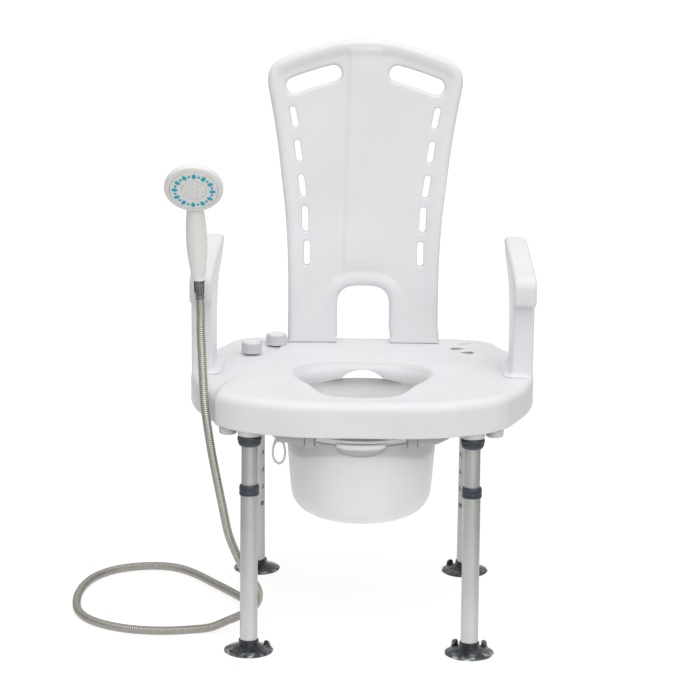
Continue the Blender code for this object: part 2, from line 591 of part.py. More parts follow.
for sname, sx in (("left", -1), ("right", 1)):
    # a hanging channel: web up to the seat, groove for the pail's flange, lip below it
    section = [(0.1395, 0.4066), (0.1395, 0.3540), (0.1345, 0.3335), (0.1262, 0.3335), (0.1262, 0.3372),
               (0.1332, 0.3372), (0.1332, 0.3440), (0.1290, 0.3440), (0.1290, 0.3470), (0.1352, 0.3470), (0.1352, 0.4066)]
    rail = plate("pail_rail", section, [], 0.262)
    for v in rail.vertices:
        v.co = (sx * v.co.x, -0.190 + v.co.z, v.co.y)
    bm = bmesh.new()
    bm.from_mesh(rail)
    rail = place("pail_rail_" + sname, solid("pail_rail_" + sname, bm, smooth=False), (GREY, 0.5))
    # only the web runs on to the front block
    xs = sorted((sx * 0.1200, sx * 0.1420))
    relief = place("rail_relief_" + sname, block("rail_relief", (xs[0], -0.195, 0.330), (xs[1], -0.116, 0.3600)), None, cutter=True)
    boolean(rail, relief)
    face = [(0.0710, 0.3420), (0.0920, 0.3420), (0.0920, 0.3465), (0.1200, 0.3475), (0.1400, 0.3580), (0.1400, 0.4050), (0.0710, 0.4050)]
    stop_mesh = plate("rail_stop", face, [], 0.008)
    for v in stop_mesh.vertices:
        v.co = (sx * v.co.x, -0.2085 + v.co.z, v.co.y)
    bm = bmesh.new()
    bm.from_mesh(stop_mesh)
    place("rail_stop_" + sname, solid("rail_stop_" + sname, bm, smooth=False), (GREY, 0.5))

place("splash_ring", turned("splash_ring", [
    (0.1250, 0.3415), (0.1270, 0.3415), (0.1275, 0.3480), (0.1325, 0.3800), (0.1332, 0.3818), (0.1322, 0.3825),
    (0.1305, 0.3805), (0.1255, 0.3480)], 32, ring=True), (WHITE, 0.35), matrix=pail_at)

# ------------------------------------------------------------------ knobs at the rear left
for kname, (kx, ky) in (("front", (-0.185, 0.110)), ("rear", (-0.146, 0.172))):
    base = seat_top(ky)
    at = Matrix.Translation((kx, ky, base))
    place("control_knob_" + kname, turned("control_knob", [
        (0.0, 0.0024), (0.0160, 0.0024), (0.0170, 0.0034), (0.0170, 0.0160), (0.0160, 0.0176), (0.0132, 0.0182),
        (0.0132, 0.0165), (0.0, 0.0165)], 20), (GREY, 0.4), matrix=at)
    place("knob_cap_" + kname, turned("knob_cap", [(0.0, 0.0168), (0.0129, 0.0168), (0.0129, 0.0184),
                                                  (0.0100, 0.0190), (0.0, 0.0192)], 18), (WHITE, 0.3), matrix=at)
    # fixed bush through the seat with a washer on top and a nut below
    place("knob_bush_" + kname, turned("knob_bush", [
        (0.0, -0.0160), (0.0100, -0.0160), (0.0100, -0.0048), (0.0060, -0.0048), (0.0060, 0.0006), (0.0120, 0.0006),
        (0.0120, 0.0020), (0.0, 0.0020)], 16), (GREY, 0.5), matrix=at)
    hole = place("knob_hole_" + kname, turned("knob_hole", [(0.0, -0.03), (0.0064, -0.03), (0.0064, 0.02), (0.0, 0.02)], 16),
                 None, matrix=at, cutter=True)
    boolean(seat, hole)

# ------------------------------------------------------------------ hand shower
grip_at = axis_matrix(GRIP_LOW, GRIP_TOP - GRIP_LOW)
body = place("handset_body", turned("handset_body", GRIP, 18), (WHITE, 0.3), matrix=grip_at)
face_dir = Vector((0.0, -math.cos(HEAD_DIP), -math.sin(HEAD_DIP)))
head_at = axis_matrix(HEAD, face_dir)
dome = place("head_dome", turned("head_dome", [
    (0.0, -0.0250), (0.0180, -0.0240), (0.0330, -0.0190), (0.0440, -0.0110), (0.0477, -0.0040), (0.0480, 0.0010),
    (0.0470, 0.0035), (0.0430, 0.0050), (0.0398, 0.0050), (0.0398, -0.0010), (0.0, -0.0010)], 28),
    None, matrix=head_at, cutter=True)
boolean(body, dome, "UNION")
place("spray_face", turned("spray_face", [
    (0.0, -0.0006), (0.0394, -0.0006), (0.0394, 0.0050), (0.0370, 0.0062), (0.0362, 0.0062), (0.0362, 0.0048),
    (0.0290, 0.0048), (0.0290, 0.0062), (0.0200, 0.0066), (0.0200, 0.0048), (0.0, 0.0048)], 28), (WHITE, 0.3), matrix=head_at)
place("nozzle_ring", turned("nozzle_ring", [
    (0.0294, 0.0051), (0.0358, 0.0051), (0.0356, 0.0070), (0.0326, 0.0076), (0.0296, 0.0070)], 24, ring=True), (TEAL, 0.45), matrix=head_at)
place("spray_hub", turned("spray_hub", [
    (0.0, 0.0051), (0.0196, 0.0051), (0.0192, 0.0066), (0.0120, 0.0074), (0.0, 0.0078)], 18), (WHITE, 0.35), matrix=head_at)
conn_dir = GRIP_TOP - GRIP_LOW
conn_at = axis_matrix(GRIP_LOW, conn_dir)
place("hose_connector", turned("hose_connector", [
    (0.0, -0.0300), (0.0070, -0.0300), (0.0074, -0.0285), (0.0084, -0.0060), (0.0086, -0.0003), (0.0, -0.0003)], 20),
    (ALU, 0.2, 1.0), matrix=conn_at)

# clip on the left arm's front that holds the connector
ring_in, ring_out, lap = 0.0090, 0.0112, math.radians(118)
outline = []
for i in range(17):
    a = math.pi / 2 - lap + 2 * lap * i / 16
    outline.append((ring_out * math.cos(a), ring_out * math.sin(a)))
for i in range(17):
    a = math.pi / 2 + lap - 2 * lap * i / 16
    outline.append((ring_in * math.cos(a), ring_in * math.sin(a)))
clip = place("handset_clip", plate("handset_clip", outline, [], 0.020), (WHITE, 0.35),
             matrix=axis_matrix(GRIP_LOW + Vector((0, 0, -0.0225)), (0, 0, 1)))
neck = place("clip_neck", block("clip_neck", (-0.2655, -0.0745, 0.5590), (-0.2565, -0.0605, 0.5750)), None, cutter=True)
boolean(clip, neck, "UNION")

# ------------------------------------------------------------------ hose and its end nut
HOSE_TOP = GRIP_LOW - conn_dir.normalized() * (0.0300 + 2 * GAP)
HOSE_ROUTE = [tuple(HOSE_TOP), tuple(HOSE_TOP - conn_dir.normalized() * 0.0220), (-0.2582, -0.0905, 0.4970), (-0.2559, -0.1045, 0.4640),
              (-0.2530, -0.1240, 0.4300), (-0.2500, -0.1420, 0.3970), (-0.2467, -0.1525, 0.3740), (-0.2428, -0.1590, 0.3500),
              (-0.2369, -0.1635, 0.3150), (-0.2284, -0.1675, 0.2716), (-0.2196, -0.1700, 0.2286), (-0.2106, -0.1681, 0.1838),
              (-0.2004, -0.1663, 0.1551), (-0.1879, -0.1701, 0.1297), (-0.1751, -0.1672, 0.1092), (-0.1656, -0.1582, 0.0908),
              (-0.1626, -0.1467, 0.0732), (-0.1668, -0.1339, 0.0550), (-0.1786, -0.1229, 0.0391), (-0.1951, -0.1161, 0.0270),
              (-0.2145, -0.1146, 0.0179), (-0.2416, -0.1215, 0.0086), (-0.2778, -0.1310, 0.0072), (-0.3220, -0.1372, 0.0071),
              (-0.3720, -0.1310, 0.0071), (-0.4140, -0.1115, 0.0071), (-0.4450, -0.0830, 0.0071), (-0.4640, -0.0450, 0.0071),
              (-0.4715, 0.0000, 0.0071), (-0.4720, 0.0450, 0.0071), (-0.4655, 0.0920, 0.0071), (-0.4500, 0.1350, 0.0071),
              (-0.4220, 0.1690, 0.0071), (-0.3860, 0.1880, 0.0071), (-0.3500, 0.1935, 0.0071), (-0.3160, 0.1840, 0.0071),
              (-0.2850, 0.1560, 0.0071), (-0.2480, 0.1050, 0.0071), (-0.2060, 0.0400, 0.0085), (-0.1890, 0.0040, 0.0110),
              (-0.1848, -0.0200, 0.0114)]


def cord_curve(name, route, radius, step):
    """A plain tube along a smooth route. Returns the tube's points."""
    pts = even(smooth_path(route, 12), step)
    curve = bpy.data.curves.new(name, "CURVE")
    curve.dimensions = "3D"
    curve.bevel_depth = radius
    curve.bevel_resolution = 2
    curve.use_fill_caps = True
    spline = curve.splines.new("POLY")
    spline.points.add(len(pts) - 1)
    for p, q in zip(spline.points, pts):
        p.co = (*q, 1.0)
    place(name, curve, (STEEL, 0.35, 1.0))
    return pts


hose_points = cord_curve("shower_hose", HOSE_ROUTE, HOSE_R, 0.028)

place("hose_end_nut", turned("hose_end_nut", [
    (0.0, 0.0003), (0.0094, 0.0003), (0.0112, 0.0020), (0.0112, 0.0200), (0.0104, 0.0220), (0.0092, 0.0220),
    (0.0092, 0.0120), (0.0050, 0.0120), (0.0050, 0.0040), (0.0, 0.0040)], 16), (ALU, 0.2, 1.0),
    matrix=axis_matrix(hose_points[-1], hose_points[-1] - hose_points[-2]))
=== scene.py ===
import math

import bmesh
import bpy
import numpy as np
from mathutils import Matrix, Vector, kdtree
from mathutils.geometry import delaunay_2d_cdt


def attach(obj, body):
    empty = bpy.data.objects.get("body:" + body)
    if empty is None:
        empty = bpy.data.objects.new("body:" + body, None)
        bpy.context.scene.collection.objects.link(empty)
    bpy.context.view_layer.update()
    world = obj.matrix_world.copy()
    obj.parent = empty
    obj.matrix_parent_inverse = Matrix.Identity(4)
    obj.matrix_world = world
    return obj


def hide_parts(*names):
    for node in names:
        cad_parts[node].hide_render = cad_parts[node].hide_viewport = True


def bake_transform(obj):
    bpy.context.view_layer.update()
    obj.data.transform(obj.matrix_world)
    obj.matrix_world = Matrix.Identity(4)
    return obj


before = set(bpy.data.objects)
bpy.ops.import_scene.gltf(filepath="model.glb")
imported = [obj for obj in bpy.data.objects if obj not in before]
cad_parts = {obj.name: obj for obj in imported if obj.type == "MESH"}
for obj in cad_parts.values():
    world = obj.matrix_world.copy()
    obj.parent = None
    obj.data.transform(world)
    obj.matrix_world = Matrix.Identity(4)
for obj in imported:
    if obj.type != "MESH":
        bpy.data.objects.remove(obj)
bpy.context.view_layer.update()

# Shower commode chair. Shapes are written in the design axes of the chair, whose zero lies between
# the feet, and SHIFT brings them to the row frame. Metres, +Z up, the front faces -Y.
SHIFT = Vector((0.0178, -0.0094, 0.0))
GAP = 0.0003
SCENE = bpy.context.scene


# ------------------------------------------------------------------ small maths
def clamp01(t):
    return max(0.0, min(1.0, t))


def smoothstep(a, b, t):
    t = clamp01((t - a) / (b - a))
    return t * t * (3 - 2 * t)


def lerp(a, b, t):
    return a + (b - a) * t


def axis_matrix(origin, z_dir, x_hint=(1, 0, 0)):
    """A placement whose Z runs along z_dir."""
    z = Vector(z_dir).normalized()
    x = Vector(x_hint)
    x = (x - z * x.dot(z)).normalized()
    y = z.cross(x)
    m = Matrix((x, y, z)).transposed().to_4x4()
    m.translation = Vector(origin)
    return m


def smooth_loop(points, per_span):
    """A closed Catmull-Rom curve through the points."""
    out = []
    n = len(points)
    for i in range(n):
        p0, p1, p2, p3 = (Vector(points[(i + k - 1) % n]) for k in range(4))
        for s in range(per_span):
            t = s / per_span
            out.append(0.5 * ((2 * p1) + (p2 - p0) * t + (2 * p0 - 5 * p1 + 4 * p2 - p3) * t * t
                              + (3 * p1 - p0 - 3 * p2 + p3) * t ** 3))
    return out


def smooth_path(points, per_span):
    """An open centripetal Catmull-Rom curve through the points."""
    pts = [Vector(p) for p in points]
    pts = [pts[0] * 2 - pts[1]] + pts + [pts[-1] * 2 - pts[-2]]
    out = []
    for i in range(len(pts) - 3):
        p0, p1, p2, p3 = pts[i:i + 4]
        t0 = 0.0
        t1 = t0 + (p1 - p0).length ** 0.5
        t2 = t1 + (p2 - p1).length ** 0.5
        t3 = t2 + (p3 - p2).length ** 0.5
        for s in range(per_span):
            t = t1 + (t2 - t1) * s / per_span
            a1 = p0 * ((t1 - t) / (t1 - t0)) + p1 * ((t - t0) / (t1 - t0))
            a2 = p1 * ((t2 - t) / (t2 - t1)) + p2 * ((t - t1) / (t2 - t1))
            a3 = p2 * ((t3 - t) / (t3 - t2)) + p3 * ((t - t2) / (t3 - t2))
            b1 = a1 * ((t2 - t) / (t2 - t0)) + a2 * ((t - t0) / (t2 - t0))
            b2 = a2 * ((t3 - t) / (t3 - t1)) + a3 * ((t - t1) / (t3 - t1))
            out.append(b1 * ((t2 - t) / (t2 - t1)) + b2 * ((t - t1) / (t2 - t1)))
    out.append(pts[-2])
    return out


def even(points, step, closed=False):
    """Points at an even distance along a path or a loop."""
    pts = list(points) + ([points[0]] if closed else [])
    lengths = [(b - a).length for a, b in zip(pts[:-1], pts[1:])]
    total = sum(lengths)
    count = max(2, round(total / step))
    out, walked, target = [pts[0]], 0.0, total / count
    for a, b, length in zip(pts[:-1], pts[1:], lengths):
        while walked + length >= target - 1e-9 and len(out) < count:
            out.append(a + (b - a) * ((target - walked) / max(length, 1e-12)))
            target += total / count
        walked += length
    if not closed:
        out.append(pts[-1])
    return out


def soft(points, radius, closed=False, steps=3):
    """Rounds each corner of a polyline with a short curve."""
    pts = [Vector(p) for p in points]
    n = len(pts)
    out = []
    for i, p in enumerate(pts):
        if not closed and i in (0, n - 1):
            out.append(p)
            continue
        a, b = pts[i - 1], pts[(i + 1) % n]
        da, db = (a - p), (b - p)
        d = min(radius, 0.45 * da.length, 0.45 * db.length)
        if d < 1e-6 or da.normalized().dot(db.normalized()) < -0.995:
            out.append(p)
            continue
        p1, p2 = p + da.normalized() * d, p + db.normalized() * d
        for k in range(steps + 1):
            t = k / steps
            out.append(p1 * (1 - t) ** 2 + p * (2 * t * (1 - t)) + p2 * t * t)
    return out


def loop_normals(loop):
    """Outward normals of a counter-clockwise loop in the plane."""
    n = len(loop)
    out = []
    for i in range(n):
        t = loop[(i + 1) % n] - loop[i - 1]
        out.append(Vector((t.y, -t.x)).normalized())
    return out


def ccw(loop):
    area = sum(a.x * b.y - b.x * a.y for a, b in zip(loop, loop[1:] + loop[:1]))
    return loop if area > 0 else loop[::-1]


def stadium(path, r, steps=8):
    """A band of even width around an open path."""
    pts = [Vector(p) for p in path]
    left, right = [], []
    for i, p in enumerate(pts):
        d = (pts[min(i + 1, len(pts) - 1)] - pts[max(i - 1, 0)]).normalized()
        n = Vector((-d.y, d.x))
        left.append(p + n * r)
        right.append(p - n * r)

    def cap(centre, d):
        start = math.atan2(d.y, d.x) - math.pi / 2
        return [centre + Vector((math.cos(start + math.pi * i / steps), math.sin(start + math.pi * i / steps))) * r
                for i in range(1, steps)]
    end = cap(pts[-1], (pts[-1] - pts[-2]).normalized())
    begin = cap(pts[0], (pts[0] - pts[1]).normalized())
    return ccw(right + end + left[::-1] + begin)


def circle(cx, cy, r, n):
    return [Vector((cx + r * math.cos(2 * math.pi * i / n), cy + r * math.sin(2 * math.pi * i / n))) for i in range(n)]


# ------------------------------------------------------------------ mesh builder
class Shape:
    """Collects points and faces and turns them into one smooth mesh."""

    def __init__(self):
        self.v = []
        self.f = []

    def pts(self, points):
        base = len(self.v)
        self.v.extend([tuple(p) for p in points])
        return list(range(base, len(self.v)))

    def bridge(self, a, b, closed=True):
        n = len(a)
        for i in range(n if closed else n - 1):
            j = (i + 1) % n
            self.f.append((a[i], a[j], b[j], b[i]))

    def loft(self, rings, closed=True, cap_first=True, cap_last=True, loop=False):
        rows = [self.pts(r) for r in rings]
        for a, b in zip(rows[:-1], rows[1:]):
            self.bridge(a, b, closed)
        if loop:
            self.bridge(rows[-1], rows[0], closed)
        else:
            if cap_first:
                self.dome(rows[0][::-1])
            if cap_last:
                self.dome(rows[-1])
        return rows

    def dome(self, ring):
        """Closes a ring with a fan to its middle."""
        c = sum((Vector(self.v[i]) for i in ring), Vector((0, 0, 0))) / len(ring)
        m = self.pts([c])[0]
        for i in range(len(ring)):
            self.f.append((ring[i], ring[(i + 1) % len(ring)], m))

    def turn(self, profile, steps, matrix=None, loop=False, radius=None):
        """A turned form about Z from (radius, height) points. radius(angle, r, z) may change the radius."""
        m = matrix or Matrix.Identity(4)
        rows = []
        for p in profile:
            r, z = p[0], p[1]
            if r < 1e-6:
                rows.append(self.pts([m @ Vector((0, 0, z))]))
            else:
                ring = []
                for i in range(steps):
                    a = 2 * math.pi * i / steps
                    q = radius(a, r, z) if radius else r
                    ring.append(m @ Vector((q * math.cos(a), q * math.sin(a), z)))
                rows.append(self.pts(ring))
        pairs = list(zip(rows[:-1], rows[1:]))
        if loop:
            pairs.append((rows[-1], rows[0]))
        for a, b in pairs:
            if len(a) == 1 and len(b) == 1:
                continue
            if len(a) == 1:
                for i in range(steps):
                    self.f.append((a[0], b[(i + 1) % steps], b[i]))
            elif len(b) == 1:
                for i in range(steps):
                    self.f.append((a[i], a[(i + 1) % steps], b[0]))
            else:
                self.bridge(a, b)
        return rows

    def fill(self, loops, spacing, lift, flip=False, margin=0.6, stretch=(1.0, 1.0)):
        """Fills the region inside the first loop and outside the others with even triangles.
        Each loop is (indices, plane points). lift places an inner plane point in space."""
        sx, sy = stretch
        plane, ids, edges = [], [], []
        for idx, flat in loops:
            base = len(plane)
            plane += [Vector((p[0] * sx, p[1] * sy)) for p in flat]
            ids += list(idx)
            edges += [(base + i, base + (i + 1) % len(flat)) for i in range(len(flat))]
        polys = [np.array([(p[0] * sx, p[1] * sy) for p in flat]) for _, flat in loops]
        lo, hi = polys[0].min(0), polys[0].max(0)
        rows = []
        dy = spacing * math.sqrt(3) / 2
        for k in range(int((hi[1] - lo[1]) / dy) + 1):
            y = lo[1] + k * dy
            xs = np.arange(lo[0] + (spacing / 2 if k % 2 else 0.0), hi[0], spacing)
            rows.append(np.stack([xs, np.full(len(xs), y)], 1))
        grid = np.concatenate(rows)
        keep = inside(grid, polys[0])
        for poly in polys[1:]:
            keep &= ~inside(grid, poly)
        grid = grid[keep]
        tree = kdtree.KDTree(len(plane))
        for i, p in enumerate(plane):
            tree.insert((p.x, p.y, 0.0), i)
        tree.balance()
        grid = [g for g in grid if tree.find((g[0], g[1], 0.0))[2] > margin * spacing]
        new = self.pts([lift(g[0] / sx, g[1] / sy) for g in grid])
        every = plane + [Vector((g[0], g[1])) for g in grid]
        index = ids + new
        verts, _, faces, origin, _, _ = delaunay_2d_cdt(every, edges, [], 0, 1e-9)
        at = [index[o[0]] if o else None for o in origin]
        flat = np.array([(v.x, v.y) for v in verts])
        tri = np.array([f for f in faces if len(f) == 3])
        centre = flat[tri].mean(1)
        keep = inside(centre, polys[0])
        for poly in polys[1:]:
            keep &= ~inside(centre, poly)
        for a, b, c in tri[keep]:
            if at[a] is None or at[b] is None or at[c] is None:
                continue
            face = (at[a], at[b], at[c])
            self.f.append(face[::-1] if flip else face)

    def mesh(self, name, matrix=None, angle=40, weld=2e-6, outward=True):
        mesh = bpy.data.meshes.new(name)
        mesh.from_pydata(self.v, [], self.f)
        bm = bmesh.new()
        bm.from_mesh(mesh)
        bmesh.ops.remove_doubles(bm, verts=bm.verts[:], dist=weld)
        loose = [v for v in bm.verts if not v.link_faces]
        bmesh.ops.delete(bm, geom=loose, context="VERTS")
        if outward:
            bmesh.ops.recalc_face_normals(bm, faces=bm.faces[:])
        m = Matrix.Translation(SHIFT) @ (matrix or Matrix.Identity(4))
        bmesh.ops.transform(bm, matrix=m, verts=bm.verts[:])
        bm.to_mesh(mesh)
        bm.free()
        mesh.shade_smooth()
        if angle:
            mesh.set_sharp_from_angle(angle=math.radians(angle))
        return mesh


def inside(points, poly):
    """Which points lie in the polygon, by ray casting."""
    x, y = points[:, 0], points[:, 1]
    out = np.zeros(len(points), bool)
    x0, y0 = poly[:, 0], poly[:, 1]
    x1, y1 = np.roll(x0, -1), np.roll(y0, -1)
    for a, b, c, d in zip(x0, y0, x1, y1):
        if b == d:
            continue
        cross = ((b > y) != (d > y)) & (x < (c - a) * (y - b) / (d - b) + a)
        out ^= cross
    return out


def piece(name, mesh, body, look, nodes=()):
    """Puts a mesh in the scene as a piece of the chair."""
    obj = bpy.data.objects.new(name, mesh)
    SCENE.collection.objects.link(obj)
    if not mesh.materials:
        mesh.materials.append(look)
    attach(obj, body)
    if nodes:
        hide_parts(*nodes)
    return obj


# ------------------------------------------------------------------ surfaces
def grow(name):
    mat = bpy.data.materials.new(name)
    mat.use_nodes = True
    tree = mat.node_tree
    tree.nodes.clear()
    out = tree.nodes.new("ShaderNodeOutputMaterial")
    shader = tree.nodes.new("ShaderNodeBsdfPrincipled")
    tree.links.new(shader.outputs[0], out.inputs[0])
    where = tree.nodes.new("ShaderNodeTexCoord")
    return mat, tree, shader, where


def noise(tree, source, scale, detail=3.0, rough=0.5, stretch=None):
    if stretch:
        mapping = tree.nodes.new("ShaderNodeMapping")
        mapping.inputs["Scale"].default_value = stretch
        tree.links.new(source, mapping.inputs["Vector"])
        source = mapping.outputs[0]
    n = tree.nodes.new("ShaderNodeTexNoise")
    n.inputs["Scale"].default_value = scale
    n.inputs["Detail"].default_value = detail
    n.inputs["Roughness"].default_value = rough
    tree.links.new(source, n.inputs["Vector"])
    return n.outputs[0]


def ramp(tree, factor, stops):
    r = tree.nodes.new("ShaderNodeValToRGB")
    elements = r.color_ramp.elements
    while len(elements) < len(stops):
        elements.new(0.5)
    for e, (pos, colour) in zip(elements, stops):
        e.position = pos
        e.color = (*colour, 1.0) if len(colour) == 3 else colour
    tree.links.new(factor, r.inputs[0])
    return r.outputs[0]


def spread(tree, factor, low, high, a=0.3, b=0.7):
    m = tree.nodes.new("ShaderNodeMapRange")
    m.inputs["From Min"].default_value = a
    m.inputs["From Max"].default_value = b
    m.inputs["To Min"].default_value = low
    m.inputs["To Max"].default_value = high
    tree.links.new(factor, m.inputs["Value"])
    return m.outputs[0]


def bumps(tree, shader, heights):
    """Chains bump nodes: heights is a list of (socket, strength, distance)."""
    last = None
    for socket, strength, distance in heights:
        b = tree.nodes.new("ShaderNodeBump")
        b.inputs["Strength"].default_value = strength
        b.inputs["Distance"].default_value = distance
        tree.links.new(socket, b.inputs["Height"])
        if last is not None:
            tree.links.new(last, b.inputs["Normal"])
        last = b.outputs[0]
    tree.links.new(last, shader.inputs["Normal"])


def plastic(name, colour, rough=0.34, shade=0.035, grain=1100.0, grain_strength=0.06, specular=0.42, wave=0.02, sss=0.0):
    """Moulded plastic: a fine even grain, slow waves in the gloss, and a hint of uneven tone."""
    mat, tree, shader, where = grow(name)
    at = where.outputs["Object"]
    slow = noise(tree, at, 9.0, 2.0)
    mid = noise(tree, at, 60.0, 3.0)
    dark = tuple(c * (1 - shade) for c in colour)
    light = tuple(min(1.0, c * (1 + shade * 0.5)) for c in colour)
    base = ramp(tree, slow, [(0.30, dark), (0.70, light)])
    tree.links.new(base, shader.inputs["Base Color"])
    tree.links.new(spread(tree, mid, rough - 0.04, rough + 0.05), shader.inputs["Roughness"])
    fine = noise(tree, at, grain, 2.0, 0.6)
    broad = noise(tree, at, 22.0, 1.0)
    bumps(tree, shader, [(broad, wave, 0.002), (fine, grain_strength, 0.0002)])
    shader.inputs["Specular IOR Level"].default_value = specular
    if sss:
        shader.inputs["Subsurface Weight"].default_value = sss
        shader.inputs["Subsurface Radius"].default_value = (0.006, 0.006, 0.005)
        shader.inputs["Subsurface Scale"].default_value = 1.0
    return mat


def maths(tree, operation, a, b):
    node = tree.nodes.new("ShaderNodeMath")
    node.operation = operation
    for k, value in enumerate((a, b)):
        if isinstance(value, (int, float)):
            node.inputs[k].default_value = value
        else:
            tree.links.new(value, node.inputs[k])
    return node.outputs[0]


def tint(mat, factor):
    """Multiplies the tone of a surface by a colour socket."""
    tree = mat.node_tree
    shader = next(n for n in tree.nodes if n.type == "BSDF_PRINCIPLED")
    mix = tree.nodes.new("ShaderNodeMix")
    mix.data_type = "RGBA"
    mix.blend_type = "MULTIPLY"
    mix.inputs[0].default_value = 1.0
    tree.links.new(shader.inputs["Base Color"].links[0].from_socket, mix.inputs[6])
    tree.links.new(factor, mix.inputs[7])
    tree.links.new(mix.outputs[2], shader.inputs["Base Color"])


def by_height(mat, stops, at_low, at_high):
    """A tone that changes along the height of a piece, as a colour socket."""
    tree = mat.node_tree
    where = next(n for n in tree.nodes if n.type == "TEX_COORD")
    split = tree.nodes.new("ShaderNodeSeparateXYZ")
    tree.links.new(where.outputs["Object"], split.inputs[0])
    height = spread(tree, split.outputs[2], 0.0, 1.0, at_low, at_high)
    return ramp(tree, height, [(at, (tone,) * 3) for at, tone in stops])


def by_layer(mat, name, stops):
    """A tone that follows a stored value of the mesh, as a colour socket."""
    tree = mat.node_tree
    layer = tree.nodes.new("ShaderNodeAttribute")
    layer.attribute_name = name
    return ramp(tree, layer.outputs["Fac"], [(at, (tone,) * 3) for at, tone in stops])


def look_up(mesh, known, other):
    """For each point of a mesh the value of the known place it lies at, or the other value."""
    places = list(known)
    tree = kdtree.KDTree(len(places))
    for k, place in enumerate(places):
        tree.insert(place, k)
    tree.balance()
    out = []
    for v in mesh.vertices:
        _, k, gap = tree.find(v.co - SHIFT)
        out.append(known[places[k]] if gap < 4e-5 else other)
    return out


def store(mesh, name, values):
    layer = mesh.attributes.new(name, "FLOAT", "POINT")
    layer.data.foreach_set("value", np.array(values, np.float32))


def metal(name, colour, rough, stretch=(1.0, 1.0, 0.02), scale=700.0, strength=0.05, shade=0.06, metallic=1.0, aniso=0.0):
    """Drawn metal: fine lines along the piece and a slow change of tone."""
    mat, tree, shader, where = grow(name)
    at = where.outputs["Object"]
    lines = noise(tree, at, scale, 3.0, 0.6, stretch)
    slow = noise(tree, at, 14.0, 2.0)
    dark = tuple(c * (1 - shade) for c in colour)
    light = tuple(min(1.0, c * (1 + shade)) for c in colour)
    base = ramp(tree, slow, [(0.30, dark), (0.70, light)])
    tree.links.new(base, shader.inputs["Base Color"])
    tree.links.new(spread(tree, lines, rough - 0.06, rough + 0.08), shader.inputs["Roughness"])
    bumps(tree, shader, [(lines, strength, 0.0002)])
    shader.inputs["Metallic"].default_value = metallic
    if aniso:
        shader.inputs["Anisotropic"].default_value = aniso
    return mat


def smoky_rubber(name):
    """Dark semi-clear rubber whose thin rim looks lighter and mottled; its brightest blotches are painted glints."""
    mat, tree, shader, where = grow(name)
    at = where.outputs["Object"]
    blotch = noise(tree, at, 85.0, 4.0, 0.60)
    base = ramp(tree, blotch, [(0.40, (0.005, 0.006, 0.008)), (0.62, (0.026, 0.030, 0.035))])
    # the brightest stop of this ramp paints glints on the rim
    thin = ramp(tree, blotch, [(0.40, (0.010, 0.012, 0.014)), (0.53, (0.084, 0.094, 0.102)), (0.66, (0.460, 0.470, 0.472))])
    layer = tree.nodes.new("ShaderNodeAttribute")
    layer.attribute_name = "outward"
    mix = tree.nodes.new("ShaderNodeMix")
    mix.data_type = "RGBA"
    tree.links.new(spread(tree, layer.outputs["Fac"], 0.0, 1.0, 0.35, 1.0), mix.inputs[0])
    tree.links.new(base, mix.inputs[6])
    tree.links.new(thin, mix.inputs[7])
    tree.links.new(mix.outputs[2], shader.inputs["Base Color"])
    fine = noise(tree, at, 420.0, 2.0)
    tree.links.new(spread(tree, fine, 0.14, 0.34), shader.inputs["Roughness"])
    bumps(tree, shader, [(blotch, 0.35, 0.0012), (fine, 0.10, 0.0002)])
    shader.inputs["Specular IOR Level"].default_value = 0.32
    shader.inputs["Coat Weight"].default_value = 0.10
    shader.inputs["Coat Roughness"].default_value = 0.12
    return mat


WHITE = plastic("seat_plastic", (0.755, 0.763, 0.780), rough=0.33)
# painted shade on the rounded lip of the opening and painted light on its inner wall, by the stored depth
tint(WHITE, by_layer(WHITE, "depth", [(0.0, 1.0), (0.30, 0.85), (0.60, 0.93), (1.0, 1.30)]))
PEARL = plastic("back_plastic", (0.800, 0.810, 0.824), rough=0.36, grain=900.0, grain_strength=0.06)
# painted shade: the backrest darkens towards its foot
tint(PEARL, by_height(PEARL, [(0.0, 0.865), (1.0, 1.0)], 0.41, 0.60))
ARM = plastic("arm_plastic", (0.785, 0.795, 0.815), rough=0.36)
ARM_TOP = plastic("arm_top_plastic", (0.77, 0.775, 0.79), rough=0.42, grain=1400.0, grain_strength=0.14)
PAIL = plastic("pail_plastic", (0.800, 0.803, 0.810), rough=0.38, grain=700.0, grain_strength=0.03, sss=0.7)
# painted shadow just under the flange, reaching lower down towards the sides
where = next(n for n in PAIL.node_tree.nodes if n.type == "TEX_COORD")
split = PAIL.node_tree.nodes.new("ShaderNodeSeparateXYZ")
PAIL.node_tree.links.new(where.outputs["Object"], split.inputs[0])
lowered = maths(PAIL.node_tree, "ADD", split.outputs[2], spread(PAIL.node_tree, split.outputs[1], 0.0, 0.017, -0.198, -0.150))
level = spread(PAIL.node_tree, lowered, 0.0, 1.0, 0.197, 0.343)
tint(PAIL, ramp(PAIL.node_tree, level, [(0.0, (0.95,) * 3), (0.58, (1.0,) * 3), (0.76, (1.0,) * 3), (0.825, (0.95,) * 3),
                                        (0.868, (0.73,) * 3), (0.97, (0.70,) * 3), (1.0, (0.80,) * 3)]))
# painted highlight on the face of the pull lip and painted shadow under it, by the stored lip value
tint(PAIL, by_layer(PAIL, "lip", [(0.0, 0.78), (0.40, 1.0), (0.55, 1.0), (1.0, 1.34)]))
SPLASH = plastic("splash_plastic", (0.800, 0.803, 0.795), rough=0.38, grain=700.0, grain_strength=0.03)
# painted shade towards the top of the ring under the seat and painted light lower down
tint(SPLASH, by_height(SPLASH, [(0.0, 1.18), (0.28, 1.15), (0.45, 1.05), (0.60, 0.95), (0.72, 0.80), (1.0, 0.66)], 0.350, 0.384))
